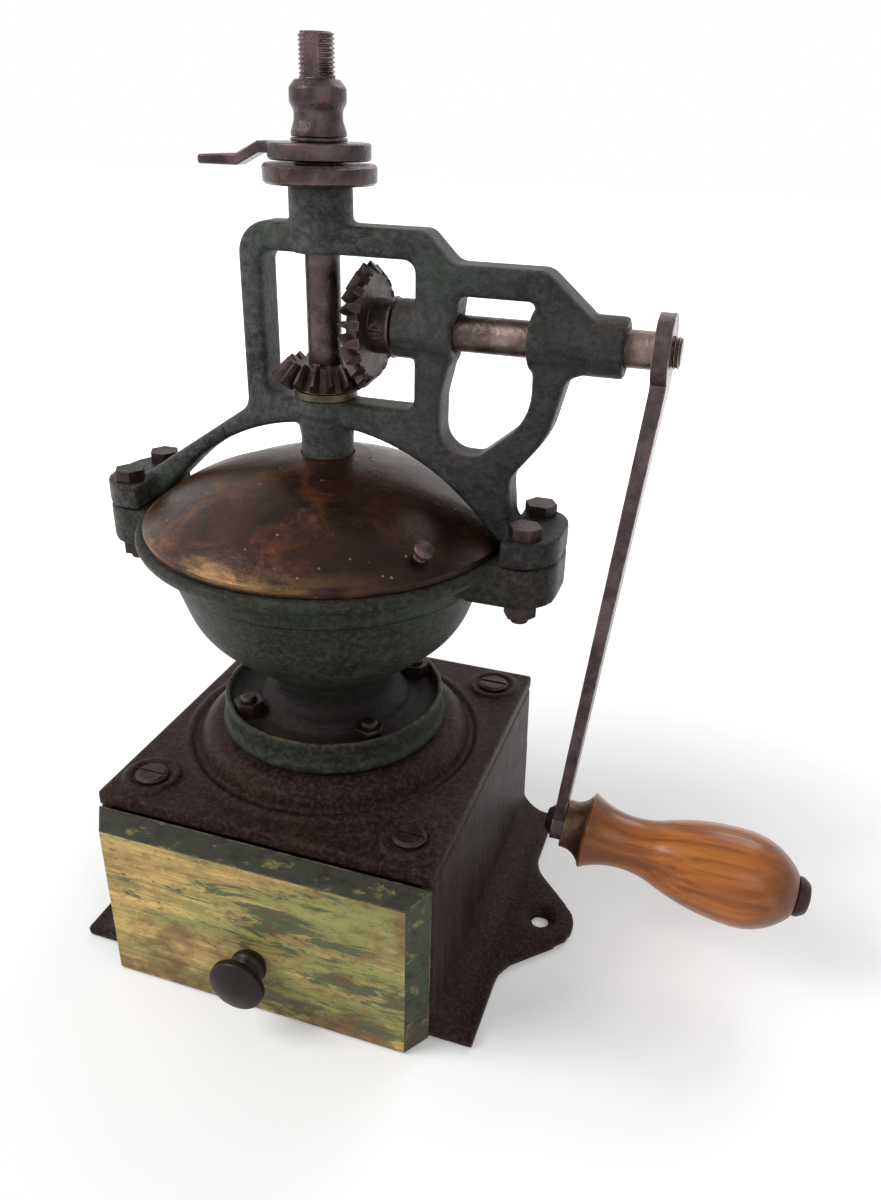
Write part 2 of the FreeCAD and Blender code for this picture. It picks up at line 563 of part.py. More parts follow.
def hopper():
    """Bowl, neck and flange in one casting, with an ear at each side for the yoke."""
    body = new_body("hopper")
    seat, lip = flange_seat, S.lip_radius
    top = seat + S.flange_height
    recess = top - S.flange_recess
    edge = S.flange_radius - S.flange_rim
    neck_foot = top - S.flange_recess / 3
    neck_top = seat + S.neck_height
    turn(body, [(0, seat), (S.flange_radius + S.flange_step, seat),
                (S.flange_radius + S.flange_step, seat + S.flange_step_height),
                (S.flange_radius, seat + S.flange_step_height), (S.flange_radius, top), (edge, top),
                (edge - S.flange_slope, recess), (S.neck_ring + S.neck_ring_slope, recess),
                (S.neck_ring, neck_foot), (S.neck_radius, neck_foot + S.neck_cove_rise, S.neck_cove),
                (S.neck_radius, neck_top, S.neck_blend),
                (S.neck_radius + S.bowl_foot, neck_top + S.bowl_foot_rise),
                (S.bowl_turn_radius, seat + S.bowl_turn_height, S.bowl_round),
                (S.bowl_top_radius, rim - S.lip_height - S.lip_drop),
                (lip - S.lip_edge, rim - S.lip_height, S.lip_blend),
                (lip, rim - S.lip_height / 2), (lip, rim), (0, rim)])
    for side in (-1, 1):
        pad(body, "XY_Plane", ear(side, S.bowl_top_radius - S.hopper_lug_root, S.foot_outer),
            S.hopper_lug_depth, offset=rim - S.hopper_lug_depth)
    wall = S.bowl_wall
    throat = S.burr_bore - S.burr_ledge
    turn(body, [(0, seat - PAST), (throat, seat - PAST), (throat, seat + S.burr_ledge),
                (S.burr_bore, seat + S.burr_ledge), (S.burr_bore, neck_top + wall),
                (S.bowl_turn_radius - wall, seat + S.bowl_turn_height + wall, S.bowl_round),
                (S.bowl_top_radius - wall, rim - S.lip_height), (S.lip_inner, rim - S.lip_height / 2),
                (S.lip_inner, rim + PAST), (0, rim + PAST)], kind="Groove")
    for x, y in bolts_xy:
        upright(body, "SubtractiveCylinder", rim - S.hopper_lug_depth - PAST, rim + PAST,
                S.bolt_radius + S.run_gap, x=x, y=y)
    for x, y in studs_xy:
        upright(body, "SubtractiveCylinder", seat - PAST, recess + PAST, S.stud_radius + S.run_gap,
                x=x, y=y)

    stud = new_body("hopper_stud", kept=False)
    turn(stud, [(0, 0), (S.stud_radius, 0), (S.stud_radius, S.stud_length - S.stud_point),
                (S.stud_radius - S.stud_point, S.stud_length), (0, S.stud_length)])
    foot = wall_top + S.plate_thick / 2
    group("hopper_studs", stud, [(x, y, foot) for x, y in studs_xy])
    nut = new_body("hopper_nut", kept=False)
    pad(nut, "XY_Plane", hexagon(S.stud_nut), S.stud_nut_height)
    upright(nut, "SubtractiveCylinder", -PAST, S.stud_nut_height + PAST, S.stud_radius + S.run_gap)
    group("hopper_nuts", nut, [(x, y, recess) for x, y in studs_xy], facing=True)


def burrs():
    """Fluted grinding ring, seated in the neck, and fluted cone on the spindle."""
    low = flange_seat + S.burr_ledge
    ring = new_body("burr_ring")
    outer = S.burr_bore - S.run_gap
    turn(ring, [(S.burr_ring_throat, low), (outer, low), (outer, low + S.burr_ring_height),
                (S.burr_ring_mouth, low + S.burr_ring_height)])
    flute(ring, low, S.burr_ring_height, S.burr_ring_throat)

    cone = new_body("burr_cone")
    foot = low + S.free_gap
    wide, top = S.burr_cone_foot, foot + S.burr_cone_height
    turn(cone, [(S.spindle_radius, foot), (wide, foot), (wide, foot + S.burr_cone_land),
                (S.burr_cone_top, top), (S.spindle_radius, top)])
    flute(cone, foot, S.burr_cone_height, S.burr_cone_foot)

    nut = new_body("burr_nut")
    pad(nut, "XY_Plane", hexagon(S.burr_nut), S.burr_nut_height, offset=foot - S.burr_nut_height)
    upright(nut, "SubtractiveCylinder", foot - S.burr_nut_height - PAST, foot + PAST, S.spindle_radius)


def flute(body, low, height, radius):
    """Cut upright flutes round the working face of a burr."""
    cut = upright(body, "SubtractiveCylinder", low - PAST, low + height + PAST, S.burr_flute_depth,
                  x=radius)
    pattern = body.newObject("PartDesign::PolarPattern", body.Name + "_flutes")
    pattern.Originals = [cut]
    axis = next(feature for feature in body.Origin.OriginFeatures if feature.Role == "Z_Axis")
    pattern.Axis = (axis, [""])
    pattern.Angle = 360
    bind(pattern, "Occurrences", S.burr_flutes)
    body.Tip = pattern


def yoke():
    """Bridge casting over the hopper: arch, columns, crank arm and four bearing bosses."""
    body = new_body("yoke")
    foot_in, foot_out = S.foot_inner, S.foot_outer
    column = S.column_left
    near, far = S.crank_window_left, S.crank_window_right
    bar_top = rim + S.crank_window_top + S.bar_thick
    web_end = S.outer_boss_end - S.boss_proud
    blend = S.yoke_blend
    outer = [(-foot_out, rim), (-foot_in, rim), (0, rim + S.arch_peak, S.arch_round), (foot_in, rim),
             (foot_out, rim), (foot_out, foot_top), (foot_in, foot_top, S.foot_blend),
             (foot_in - S.right_leg_in, rim + S.right_leg_rise, blend),
             (far + S.strut_width, rim + S.strut_rise, S.strut_round),
             (far + S.strut_top_width, rim + S.strut_top, S.foot_blend),
             (web_end, shaft_axis - S.shaft_boss_radius + S.boss_cover), (web_end, shaft_axis),
             (far + S.bar_slope, shaft_axis + S.bar_slope_rise), (far + S.bar_end, bar_top, S.bar_round),
             (S.inner_boss_end - S.bar_start, bar_top, S.bar_round),
             (S.window_right + S.top_end, rim + S.yoke_top, S.top_round),
             (-column, rim + S.yoke_top, S.yoke_corner), (-column, rim + S.left_leg_rise, blend),
             (-foot_in + S.left_leg_in, rim + S.left_toe_rise, S.left_toe_round),
             (-foot_in - S.left_toe_out, foot_top, blend), (-foot_out, foot_top)]
    left, right, corner = S.window_left, S.window_right, S.window_round
    window = [(-left, rim + S.window_floor, corner), (right, rim + S.window_floor, corner),
              (right, rim + S.window_top, corner), (-left, rim + S.window_top, corner)]
    floor, corner = rim + S.crank_window_floor, S.crank_window_corner
    crank_window = [(near - S.crank_window_bulge, floor, S.crank_window_toe_round),
                    (near + S.crank_window_heel, floor, S.crank_window_heel_round),
                    (far + S.crank_window_lean, floor + S.crank_window_slope, S.crank_window_round),
                    (far, rim + S.crank_window_top, corner),
                    (near + S.crank_window_step, rim + S.crank_window_top, corner),
                    (near, shaft_axis - S.crank_window_neck, S.crank_window_neck_round),
                    (near - S.crank_window_bulge, rim + S.crank_window_waist, S.crank_window_waist_round)]
    pad(body, "XZ_Plane", outer, S.yoke_depth, both_ways=True, holes=(window, crank_window))
    soften(body, lambda edge: edge.BoundBox.YLength < 0.01, S.yoke_edge)
    for side in (-1, 1):
        pad(body, "XY_Plane", ear(side, foot_in, foot_out), S.foot_thick, offset=rim)
    upright(body, "AdditiveCylinder", rim + S.window_top, boss_top, S.top_boss_radius)
    upright(body, "AdditiveCylinder", rim + S.arch_peak / 2, low_boss_top, S.low_boss_neck)
    upright(body, "AdditiveCylinder", low_boss_top - S.low_boss_rim, low_boss_top, S.low_boss_radius)
    upright(body, "AdditiveCylinder", rim + S.spigot_depth, rim + S.window_floor, S.spigot_radius)
    for start, end in ((S.inner_boss_start, S.inner_boss_end), (S.outer_boss_start, S.outer_boss_end)):
        along_x(body, "AdditiveCylinder", start, end, shaft_axis, S.shaft_boss_radius)
    along_x(body, "SubtractiveCylinder", S.inner_boss_start - PAST, S.outer_boss_end + PAST, shaft_axis,
            S.shaft_radius + S.run_gap)
    upright(body, "SubtractiveCylinder", rim + S.spigot_depth - PAST, low_boss_top + PAST, spindle_hole)
    upright(body, "SubtractiveCylinder", rim + S.window_top - PAST, boss_top + PAST,
            S.bush_radius + S.run_gap)
    for x in (S.inner_boss_start + S.inner_oil_hole, S.outer_boss_start + S.outer_oil_hole):
        upright(body, "SubtractiveCylinder", shaft_axis, shaft_axis + S.shaft_boss_radius + PAST,
                S.oil_hole, x=x)
    for x, y in bolts_xy:
        upright(body, "SubtractiveCylinder", rim - PAST, foot_top + PAST, S.bolt_radius + S.run_gap,
                x=x, y=y)

    bolt = new_body("yoke_bolt", kept=False)
    length = S.foot_thick + S.hopper_lug_depth + S.bolt_nut_height + S.bolt_tail
    pad(bolt, "XY_Plane", hexagon(S.bolt_head), S.bolt_head_height)
    upright(bolt, "AdditiveCylinder", -length, PAST, S.bolt_radius)
    group("yoke_bolts", bolt, [(x, y, foot_top) for x, y in bolts_xy])
    nut = new_body("yoke_nut", kept=False)
    pad(nut, "XY_Plane", hexagon(S.bolt_head), S.bolt_nut_height)
    upright(nut, "SubtractiveCylinder", -PAST, S.bolt_nut_height + PAST, S.bolt_radius + S.run_gap)
    low = rim - S.hopper_lug_depth - S.bolt_nut_height
    group("yoke_nuts", nut, [(x, y, low) for x, y in bolts_xy])

    ring = new_body("thrust_ring")
    low, high, wide = low_boss_top, low_boss_top + S.thrust_ring, S.low_boss_radius
    turn(ring, [(spindle_hole, low), (wide, low), (wide, high), (spindle_hole, high)])


def dome_half(label, outside, brim, centre, low, front):
    """Half of a thin dome with a short upright skirt and a whole eye round the yoke's spigot."""
    body = new_body(label)
    inside = outside - S.lid_sheet
    eye = S.spigot_radius + S.lid_gap

    def at(radius, sphere):
        return (radius, centre + root(sphere * sphere - radius * radius))

    turn(body, [(brim - S.lid_sheet, low), (brim, low), at(brim, outside), at(eye, outside),
                at(eye, inside), at(brim - S.lid_sheet, inside)],
         arcs={2: outside, 4: -inside}, angle=180, backwards=front)
    turn(body, [at(S.lid_eye, inside), at(S.lid_eye, outside), at(eye, outside), at(eye, inside)],
         arcs={1: outside, 3: -inside})
    return body


def lid():
    """Domed lid: the rear half stays, the front half turns over it by its knob."""
    low = rim + S.free_gap
    rise = S.lid_rise
    outside = (S.lid_radius * S.lid_radius + rise * rise) / (2 * rise)
    centre = rim + S.lid_lift + S.lid_skirt + rise - outside
    inset = S.lid_sheet + S.lid_gap
    dome_half("lid_rear", outside - inset, S.lid_radius - inset, centre, rim, front=False)
    front = dome_half("lid_front", outside, S.lid_radius, centre, low, front=True)

    radius, angle = S.lid_knob_circle, S.lid_knob_angle
    tilt = math.degrees(math.asin(radius.value / outside.value))
    hinge = V(-sine(angle).value, cosine(angle).value, 0)

    def on_dome(sphere):
        share = sphere / outside
        level = root(outside * outside - radius * radius)
        out = radius * share
        return (out * cosine(angle), out * sine(angle), centre + level * share, hinge, tilt)

    solid(front, "SubtractiveCylinder", *on_dome(outside - 2 * S.lid_sheet),
          Radius=S.lid_knob_stem + S.run_gap, Height=4 * S.lid_sheet)
    knob = place(new_body("lid_knob"), *on_dome(outside))
    ball, tall, stem = S.lid_knob_radius, S.lid_knob_height, S.lid_knob_stem
    rivet = -S.lid_sheet - S.lid_knob_rivet
    turn(knob, [(0, rivet), (stem, rivet), (stem, S.run_gap), (ball * 0.7, S.run_gap),
                (ball * 0.45, tall * 0.3, S.lid_knob_round), (ball, tall * 0.5, S.lid_knob_round),
                (ball, tall * 0.78, S.lid_knob_round), (0, tall)])


def involute_flank(pitch, base, low, high, half_thick, steps=4):
    """Points of one involute flank from its low radius to its tip, as (radius, half angle)."""
    def spread(radius):
        roll = math.acos(min(1.0, base / radius))
        return math.tan(roll) - roll
    start = half_thick / pitch + spread(pitch)
    flank = []
    for i in range(steps + 1):
        radius = low + (high - low) * i / steps
        flank.append((radius, start - spread(max(radius, base))))
    return flank


def bevel_gear(teeth, mate_teeth, phase):
    """A straight bevel gear about +Z whose pitch cone has its apex at the origin and opens upwards.

    Each tooth is an involute of the developed back cone, drawn in to the apex along the face width.
    """
    module, face, share = S.gear_module.value, S.gear_face.value, S.tooth_share.value
    pitch = module * teeth / 2
    cone = math.atan2(teeth, mate_teeth)
    length = pitch / math.sin(cone)
    back = pitch / math.cos(cone)
    base = back * math.cos(math.radians(S.pressure_angle.value))
    root_radius, tip = back - S.tooth_dedendum.value * module, back + module
    sunk = root_radius - S.tooth_sunk.value * module
    flank = involute_flank(back, base, sunk, tip, share * math.pi * module / 2)
    slope = V(math.sin(cone), 0, math.cos(cone))
    outward = V(math.cos(cone), 0, -math.sin(cone))
    section = flank + [(radius, -angle) for radius, angle in reversed(flank)]

    def corner(radius, angle, scale, spin):
        across = radius * math.sin(angle)
        rise = radius * math.cos(angle) - back
        point = slope * length + outward * rise + Y_AXIS * across
        return FreeCAD.Rotation(Z_AXIS, math.degrees(spin)).multVec(point * scale)

    small = (length - face) / length
    solids = []
    for i in range(teeth):
        spin = (i + phase) * 2 * math.pi / teeth
        wires = []
        for scale in (1.0, small):
            ring = [corner(radius, angle, scale, spin) for radius, angle in section]
            wires.append(Part.makePolygon(ring + ring[:1]))
        solids.append(Part.makeLoft(wires, True, True))
    heel = slope * length + outward * (root_radius - back)
    toe = heel * small
    profile = [V(0, 0, toe.z), toe, heel, V(0, 0, heel.z)]
    blank = Part.Face(Part.makePolygon(profile + profile[:1])).revolve(V(), Z_AXIS, 360)
    return blank.fuse(solids), heel.z


def gears():
    """The bevel pair: one gear fixed on the crank shaft, one keyed to the spindle."""
    crank_teeth, spindle_teeth = int(S.crank_teeth.value), int(S.spindle_teeth.value)
    apex = V(0, 0, shaft_axis.value)
    hub = S.gear_hub_radius.value

    wheel, heel = bevel_gear(crank_teeth, spindle_teeth, 0.5)
    boss = Part.makeCylinder(hub, S.crank_hub_end.value - heel + PAST, V(0, 0, heel - PAST))
    bore = Part.makeCylinder(S.shaft_radius.value, 2 * heel + hub, V(0, 0, 0))
    wheel = wheel.fuse(boss).cut(bore)
    set_screw_at = V(hub + PAST, 0, S.set_screw_x.value)
    hole = Part.makeCylinder(S.set_screw.value + S.run_gap.value, hub, set_screw_at, -X_AXIS)
    wheel = wheel.cut(hole).Solids[0]
    turned = FreeCAD.Rotation(Y_AXIS, 90).multiply(FreeCAD.Rotation(Z_AXIS, -90))
    crank_gear = doc.addObject("Part::Feature", "crank_gear")
    crank_gear.Shape = wheel
    crank_gear.Placement = FreeCAD.Placement(apex, turned)
    keep(crank_gear, "crank_gear")

    wheel, heel = bevel_gear(spindle_teeth, crank_teeth, 0.0)
    below = shaft_axis.value - gear_floor.value
    boss = Part.makeCylinder(S.low_boss_radius.value, below - heel + PAST, V(0, 0, heel - PAST))
    bore = Part.makeCylinder(spindle_hole.value, 2 * below, V(0, 0, 0))
    wide = S.key_width.value
    tall = S.spindle_radius.value + S.key_proud.value
    keyway = Part.makeBox(wide, tall, 2 * below, V(-wide / 2, 0, 0))
    wheel = wheel.fuse(boss).cut(bore).cut(keyway).Solids[0]
    spindle_gear = doc.addObject("Part::Feature", "spindle_gear")
    spindle_gear.Shape = wheel
    spindle_gear.Placement = FreeCAD.Placement(apex, FreeCAD.Rotation(X_AXIS, 180))
    keep(spindle_gear, "spindle_gear")
    box_part("gear_key", S.key_width, S.key_proud + S.key_sunk, S.key_length, -S.key_width / 2,
             -S.spindle_radius - S.key_proud, gear_floor)

    screw = new_body("gear_set_screw")
    turn(screw, [(0, S.shaft_radius), (S.set_screw, S.shaft_radius), (S.set_screw, hub + S.set_screw_proud),
                 (0, hub + S.set_screw_proud)])
    slot = S.set_screw_slot
    solid(screw, "SubtractiveBox", x=-S.set_screw - PAST, y=-slot / 2, z=hub + S.set_screw_proud - slot,
          Length=2 * (S.set_screw + PAST), Width=slot, Height=slot + PAST)
    place(screw, x=S.set_screw_x, z=shaft_axis, axis=X_AXIS, angle=90)


def crank():
    """Crank shaft, its washer, and the leaning flat arm with an eye at each end."""
    shaft = new_body("crank_shaft")
    along_x(shaft, "AdditiveCylinder", S.shaft_start, S.shaft_shoulder, shaft_axis, S.shaft_radius)
    along_x(shaft, "AdditiveCylinder", S.shaft_shoulder - PAST, S.shaft_end, shaft_axis, S.shaft_thread)
    washer = new_body("crank_washer")
    start = S.crank_hub_end
    along_x(washer, "AdditiveCylinder", start, start + S.washer_thick, shaft_axis, S.washer_radius)
    along_x(washer, "SubtractiveCylinder", start - PAST, start + S.washer_thick + PAST, shaft_axis,
            S.shaft_radius)

    inner, outer = S.shaft_shoulder, S.shaft_shoulder + S.arm_thick
    bend = shaft_axis - S.arm_bend
    low = shaft_axis - S.crank_throw - S.arm_low_eye - PAST
    high = shaft_axis + S.arm_eye + PAST
    run = (bend - low) * tangent(S.arm_lean)
    lean_thick = S.arm_low_thick
    side_view = new_body("crank_arm_side", kept=False)
    pad(side_view, "XZ_Plane", [(inner, high), (inner, bend, S.arm_curve), (outer - run - lean_thick, low),
                                (outer - run, low), (outer, bend, S.arm_curve), (outer, high)],
        2 * (S.arm_eye + PAST), both_ways=True)
    along_x(side_view, "SubtractiveCylinder", inner - PAST, outer + PAST, shaft_axis, S.shaft_thread)
    front_view = new_body("crank_arm_front", kept=False)
    pin_height = shaft_axis - S.crank_throw
    pad(front_view, "YZ_Plane", [(-S.arm_low_half, pin_height), (S.arm_low_half, pin_height),
                                 (S.arm_top_half, shaft_axis), (-S.arm_top_half, shaft_axis)], S.shaft_end)
    along_x(front_view, "AdditiveCylinder", 0, S.shaft_end, shaft_axis, S.arm_eye)
    along_x(front_view, "AdditiveCylinder", 0, S.shaft_end, pin_height, S.arm_low_eye)
    doc.recompute()
    blade = doc.addObject("Part::Common", "crank_arm_blade")
    blade.Base, blade.Tool = side_view, front_view

    face_x = outer - (bend - pin_height) * tangent(S.arm_lean)
    pin_hole = doc.addObject("Part::Cylinder", "crank_arm_pin_hole")
    bind(pin_hole, "Radius", S.pin_radius)
    bind(pin_hole, "Height", 4 * S.arm_thick)
    place(pin_hole, face_x - 2 * S.arm_thick * cosine(S.arm_lean), 0,
          pin_height + 2 * S.arm_thick * sine(S.arm_lean), Y_AXIS, 90 + S.arm_lean)
    arm = doc.addObject("Part::Cut", "crank_arm")
    arm.Base, arm.Tool = blade, pin_hole
    keep(arm, "crank_arm")
    handle(face_x, pin_height, lean_thick)


def handle(face_x, pin_height, lean_thick):
    """Turned wooden grip with its ferrule, free to turn on a riveted pin with a domed cap."""
    gap = S.free_gap
    hole = S.pin_radius + 2 * S.run_gap
    grip_low = gap + S.ferrule_length
    grip_high = grip_low + S.grip_length
    cap_low = grip_high + gap

    def set_on_arm(body):
        place(body, face_x, 0, pin_height, Y_AXIS, 90 + S.arm_lean)

    ferrule = new_body("grip_ferrule")
    turn(ferrule, [(hole, gap), (S.ferrule_small, gap), (S.ferrule_small, gap + S.ferrule_collar),
                   (S.ferrule_large, grip_low), (hole, grip_low)], arcs={2: -S.ferrule_cove})
    grip = new_body("grip")
    turn(grip, [(hole, grip_low), (S.grip_ridge - S.grip_edge, grip_low),
                (S.grip_ridge, grip_low + S.grip_edge),
                (S.grip_waist, grip_low + S.grip_waist_at), (S.grip_belly, grip_low + S.grip_belly_at),
                (S.grip_end, grip_high), (hole, grip_high)],
         arcs={2: -S.grip_waist_curve, 3: S.grip_belly_curve, 4: S.grip_end_curve})
    cap = new_body("handle_cap")
    turn(cap, [(0, cap_low), (S.cap_radius, cap_low), (S.cap_radius, cap_low + S.cap_length * 0.35),
               (S.cap_radius * 0.75, cap_low + S.cap_length * 0.8), (0, cap_low + S.cap_length)])
    pin = new_body("grip_pin")
    inner_face = -lean_thick * cosine(S.arm_lean) - gap
    turn(pin, [(0, inner_face - S.pin_head_height), (S.pin_head * 0.6, inner_face - S.pin_head_height),
               (S.pin_head, inner_face), (S.pin_radius, inner_face), (S.pin_radius, cap_low), (0, cap_low)])
    for body in (ferrule, grip, cap, pin):
        set_on_arm(body)


def spindle():
    """Upright spindle with its keyway, flatted thread and the turned sleeve that it hangs by."""
    low = flange_seat + S.burr_ledge + S.free_gap - S.burr_nut_height - S.spindle_tail
    thread_low = spindle_end - S.thread_length
    body = new_body("main_spindle")
    upright(body, "AdditiveCylinder", low, thread_low, S.spindle_radius)
    upright(body, "AdditiveCylinder", thread_low - PAST, spindle_end, S.spindle_thread)
    for side in (-1, 1):
        start = S.thread_flats / 2 if side > 0 else -S.thread_flats / 2 - S.spindle_radius
        solid(body, "SubtractiveBox", x=-S.spindle_radius, y=start, z=sleeve_top + PAST,
              Length=2 * S.spindle_radius, Width=S.spindle_radius, Height=S.thread_length + PAST)
    slot = S.key_width + 2 * S.run_gap
    depth = S.key_sunk + S.run_gap
    solid(body, "SubtractiveBox", x=-slot / 2, y=-S.spindle_radius - PAST, z=gear_floor - S.lever_gap,
          Length=slot, Width=depth + PAST, Height=S.key_length + 2 * S.lever_gap)

    sleeve = new_body("spindle_sleeve")
    hole, long = S.spindle_radius, S.sleeve_length
    foot, waist, neck, head = (sleeve_low + long * share for share in (0.08, 0.3, 0.45, 0.6))
    turn(sleeve, [(hole, sleeve_low), (S.sleeve_foot, sleeve_low), (S.sleeve_foot, foot),
                  (S.sleeve_waist, waist, S.sleeve_cove), (S.sleeve_waist, neck, S.sleeve_round),
                  (S.sleeve_head, head, S.sleeve_round),
                  (S.sleeve_head, sleeve_top - long * 0.15, S.sleeve_edge),
                  (S.sleeve_mouth, sleeve_top), (hole, sleeve_top)])


def adjustment():
    """Grind adjustment: a lever on a screwed bush, its lock ring, and the washer under the sleeve."""
    lever = new_body("adjusting_lever")
    bush_low = boss_top - S.bush_depth
    upright(lever, "AdditiveCylinder", bush_low, lever_low + PAST, S.bush_radius)
    upright(lever, "AdditiveCylinder", lever_low, lever_top, S.lever_disc_radius)
    tip, thick, drop = -S.lever_length, S.lever_thick, S.lever_drop
    near, bend = -S.lever_disc_radius * 0.7, -S.lever_disc_radius - S.lever_bend
    top, under, corner = lever_top, lever_top - thick, S.lever_bend_round
    pad(lever, "XZ_Plane", [(near, top), (near, under), (bend, under, corner),
                            (bend - drop * 2, under - drop, corner), (tip, under - drop),
                            (tip, top - drop - S.lever_tip_taper), (bend - drop * 2, top - drop, corner),
                            (bend, top, corner)], S.lever_width, both_ways=True)
    upright(lever, "SubtractiveCylinder", bush_low - PAST, lever_top + PAST, spindle_hole)

    ring = new_body("lock_ring")
    hole, wide = S.bush_radius + S.run_gap, S.lock_ring_radius
    low, high = boss_top + S.free_gap, boss_top + S.free_gap + S.lock_ring_thick
    edge = S.lock_ring_edge
    turn(ring, [(hole, low), (wide - edge, low), (wide, low + edge), (wide, high - edge),
                (wide - edge, high), (hole, high)])

    washer = new_body("thrust_washer")
    low = lever_top + S.free_gap
    high, wide = low + S.thrust_washer, S.thrust_washer_radius
    turn(washer, [(spindle_hole, low), (wide, low), (wide, high), (spindle_hole, high)])


for build in (base_box, top_plate, corner_screws, drawer, hopper, burrs, yoke, lid, gears, crank, spindle,
              adjustment):
    build()
doc.recompute()

faults = [item.Label for item in doc.Objects if {"Invalid", "Error"} & set(item.State)]
faults += [item.Label for item in subparts if item.Shape.isNull() or not item.Shape.isValid()]
if faults:
    raise RuntimeError("not built: " + ", ".join(faults))

os.makedirs("parts", exist_ok=True)
for item in subparts:
    item.Shape.exportStep(os.path.join("parts", item.Label + ".step"))
print(len(subparts), "sub-parts")
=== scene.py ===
import json
import math

import bmesh
import bpy
import numpy as np
from mathutils import Matrix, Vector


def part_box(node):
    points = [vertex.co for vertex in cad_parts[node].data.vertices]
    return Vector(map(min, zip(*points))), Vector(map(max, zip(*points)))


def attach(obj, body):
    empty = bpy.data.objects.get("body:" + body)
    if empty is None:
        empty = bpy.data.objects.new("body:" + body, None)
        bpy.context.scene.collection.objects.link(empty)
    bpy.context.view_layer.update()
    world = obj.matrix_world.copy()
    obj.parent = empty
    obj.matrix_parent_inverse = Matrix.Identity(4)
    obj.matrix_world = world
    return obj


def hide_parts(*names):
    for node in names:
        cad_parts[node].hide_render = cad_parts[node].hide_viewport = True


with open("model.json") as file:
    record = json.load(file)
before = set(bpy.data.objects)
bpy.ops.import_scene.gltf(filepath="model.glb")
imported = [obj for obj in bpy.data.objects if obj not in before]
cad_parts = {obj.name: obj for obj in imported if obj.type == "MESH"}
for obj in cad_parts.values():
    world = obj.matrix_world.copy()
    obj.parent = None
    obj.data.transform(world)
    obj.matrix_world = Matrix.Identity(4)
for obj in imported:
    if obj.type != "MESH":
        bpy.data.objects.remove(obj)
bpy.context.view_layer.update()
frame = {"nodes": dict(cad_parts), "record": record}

bl_info = {
    "name": "Antique coffee mill",
    "version": (1, 0, 0),
    "blender": (4, 5, 0),
    "location": "View3D > Sidebar > Mill",
    "description": "Finishes, threads and stage for an iron coffee mill with a geared side crank",
    "category": "Object",
}

MM = 0.001

# The photograph's viewpoint: place in metres, and the directions of the picture's right and upper edges
CAMERA_PLACE = (0.183711, -0.395772, 0.396413)
CAMERA_RIGHT = (0.94797, 0.31750, 0.02340)
CAMERA_UP = (-0.16266, 0.41987, 0.89289)
CAMERA_LENS_MM = 29.305
CAMERA_SENSOR_MM = 36
CAMERA_NEAR = 10 * MM

# Studio: each lamp's place and width in metres and power in watts; all lamps face one point in the mill
LAMPS = {
    "key_lamp": ((-1.1, -0.7, 1.3), 0.8, 19),
    "fill_lamp": ((0.9, -1.2, 1.1), 1.0, 4.5),
    "back_lamp": ((0.5, 1.3, 1.4), 0.8, 8),
}
LAMP_AIM = (0.05, 0, 0.2)
WORLD_LIGHT = 0.46
FLOOR_HALF = 6.0
FLOOR_SHADE = (0.87, 0.87, 0.875)
# The floor's glow, where it is looked at, grows from the near to the far value between these distances
GLOW_START = 0.15
GLOW_END = 0.9
GLOW_NEAR = 0.15
GLOW_FAR = 1.0

# Meshing: grid on which corners are merged, and angles in degrees
MERGE_STEP = 0.002 * MM
FLAT_ANGLE = 0.4
SMOOTH_ANGLE = 32
THREAD_ANGLE = 40
RUBBED_ANGLE = 50
THIN_EDGE = 0.3 * MM
WOOD_TURNING_EDGE = 0.4 * MM
CAP_STEP = 0.5 * MM
CAP_ROUNDS = 22
# Shares of the soft edge
GEAR_EDGE_SHARE = 0.6
LEVER_EDGE_SHARE = 2
LOCK_EDGE_SHARE = 3
# Castings: mesh step as a share of the casting step, rounds of relaxing, and a finish if not the slot's own
CASTINGS = {
    "base_box": (1.1, 2, None),
    "top_plate": (0.72, 2, None),
    "yoke": (0.8, 4, "yoke_paint"),
    "hopper": (1.05, 3, None),
}

# Threaded ends: rounding, width over the flats, how far a thread's radius is below its shank's, and
# where the threads start, above the sleeve and behind the arm's outer face
END_ROUND = 0.3 * MM
SPINDLE_FLATS = 11.6 * MM
SPINDLE_THREAD_FALL = 0.3 * MM
SPINDLE_THREAD_START = 0.2 * MM
CRANK_THREAD_FALL = 1.0 * MM
ARM_SEAT = 6.5 * MM

# Places of marks, painted light and painted shade in the finishes: heights over the floor or over a
# piece's foot, distances from the spindle, X coordinates, and lengths from an end
LIP_RING_HEIGHT = 200.5 * MM
FLANGE_HEIGHT = 17 * MM
FLANGE_RIM = 54 * MM
RIM_WIDTH = 1 * MM
NECK_INSET = 3 * MM
NECK_START = 14 * MM
NECK_END = 34 * MM
EAR_START = 84 * MM
EAR_END = 95 * MM
EAR_BROWN = 240 * MM
EAR_PAINTED = 262 * MM
# X span over which the yoke's painted shade grows toward the crank side
YOKE_SHADE_START = -5 * MM
YOKE_SHADE_END = 95 * MM
CRACK_PLACE = 46 * MM
CRACK_WANDER = 7 * MM
CRACK_SLANT = 0.35
BAND_FOOT = 0.8 * MM
BAND_LOW = 2.5 * MM
BAND_HIGH = 4 * MM
BAND_TOP = 10 * MM
# X places on the lid where its painted light is full and where painted shade has taken over
LID_PAINTED_LIGHT_X = -40 * MM
LID_PAINTED_SHADE_X = 75 * MM
BOARD_FOOT_DARK = 2 * MM
BOARD_FOOT_CLEAR = 30 * MM
GRIP_NECK_SHADE = 40 * MM
GRIP_BUTT_SHADE = 34 * MM
GRIP_TILT = math.radians(6)
# Bend of the normals at which edge wear starts and is full
BEND_START = 0.02
BEND_FULL = 0.22
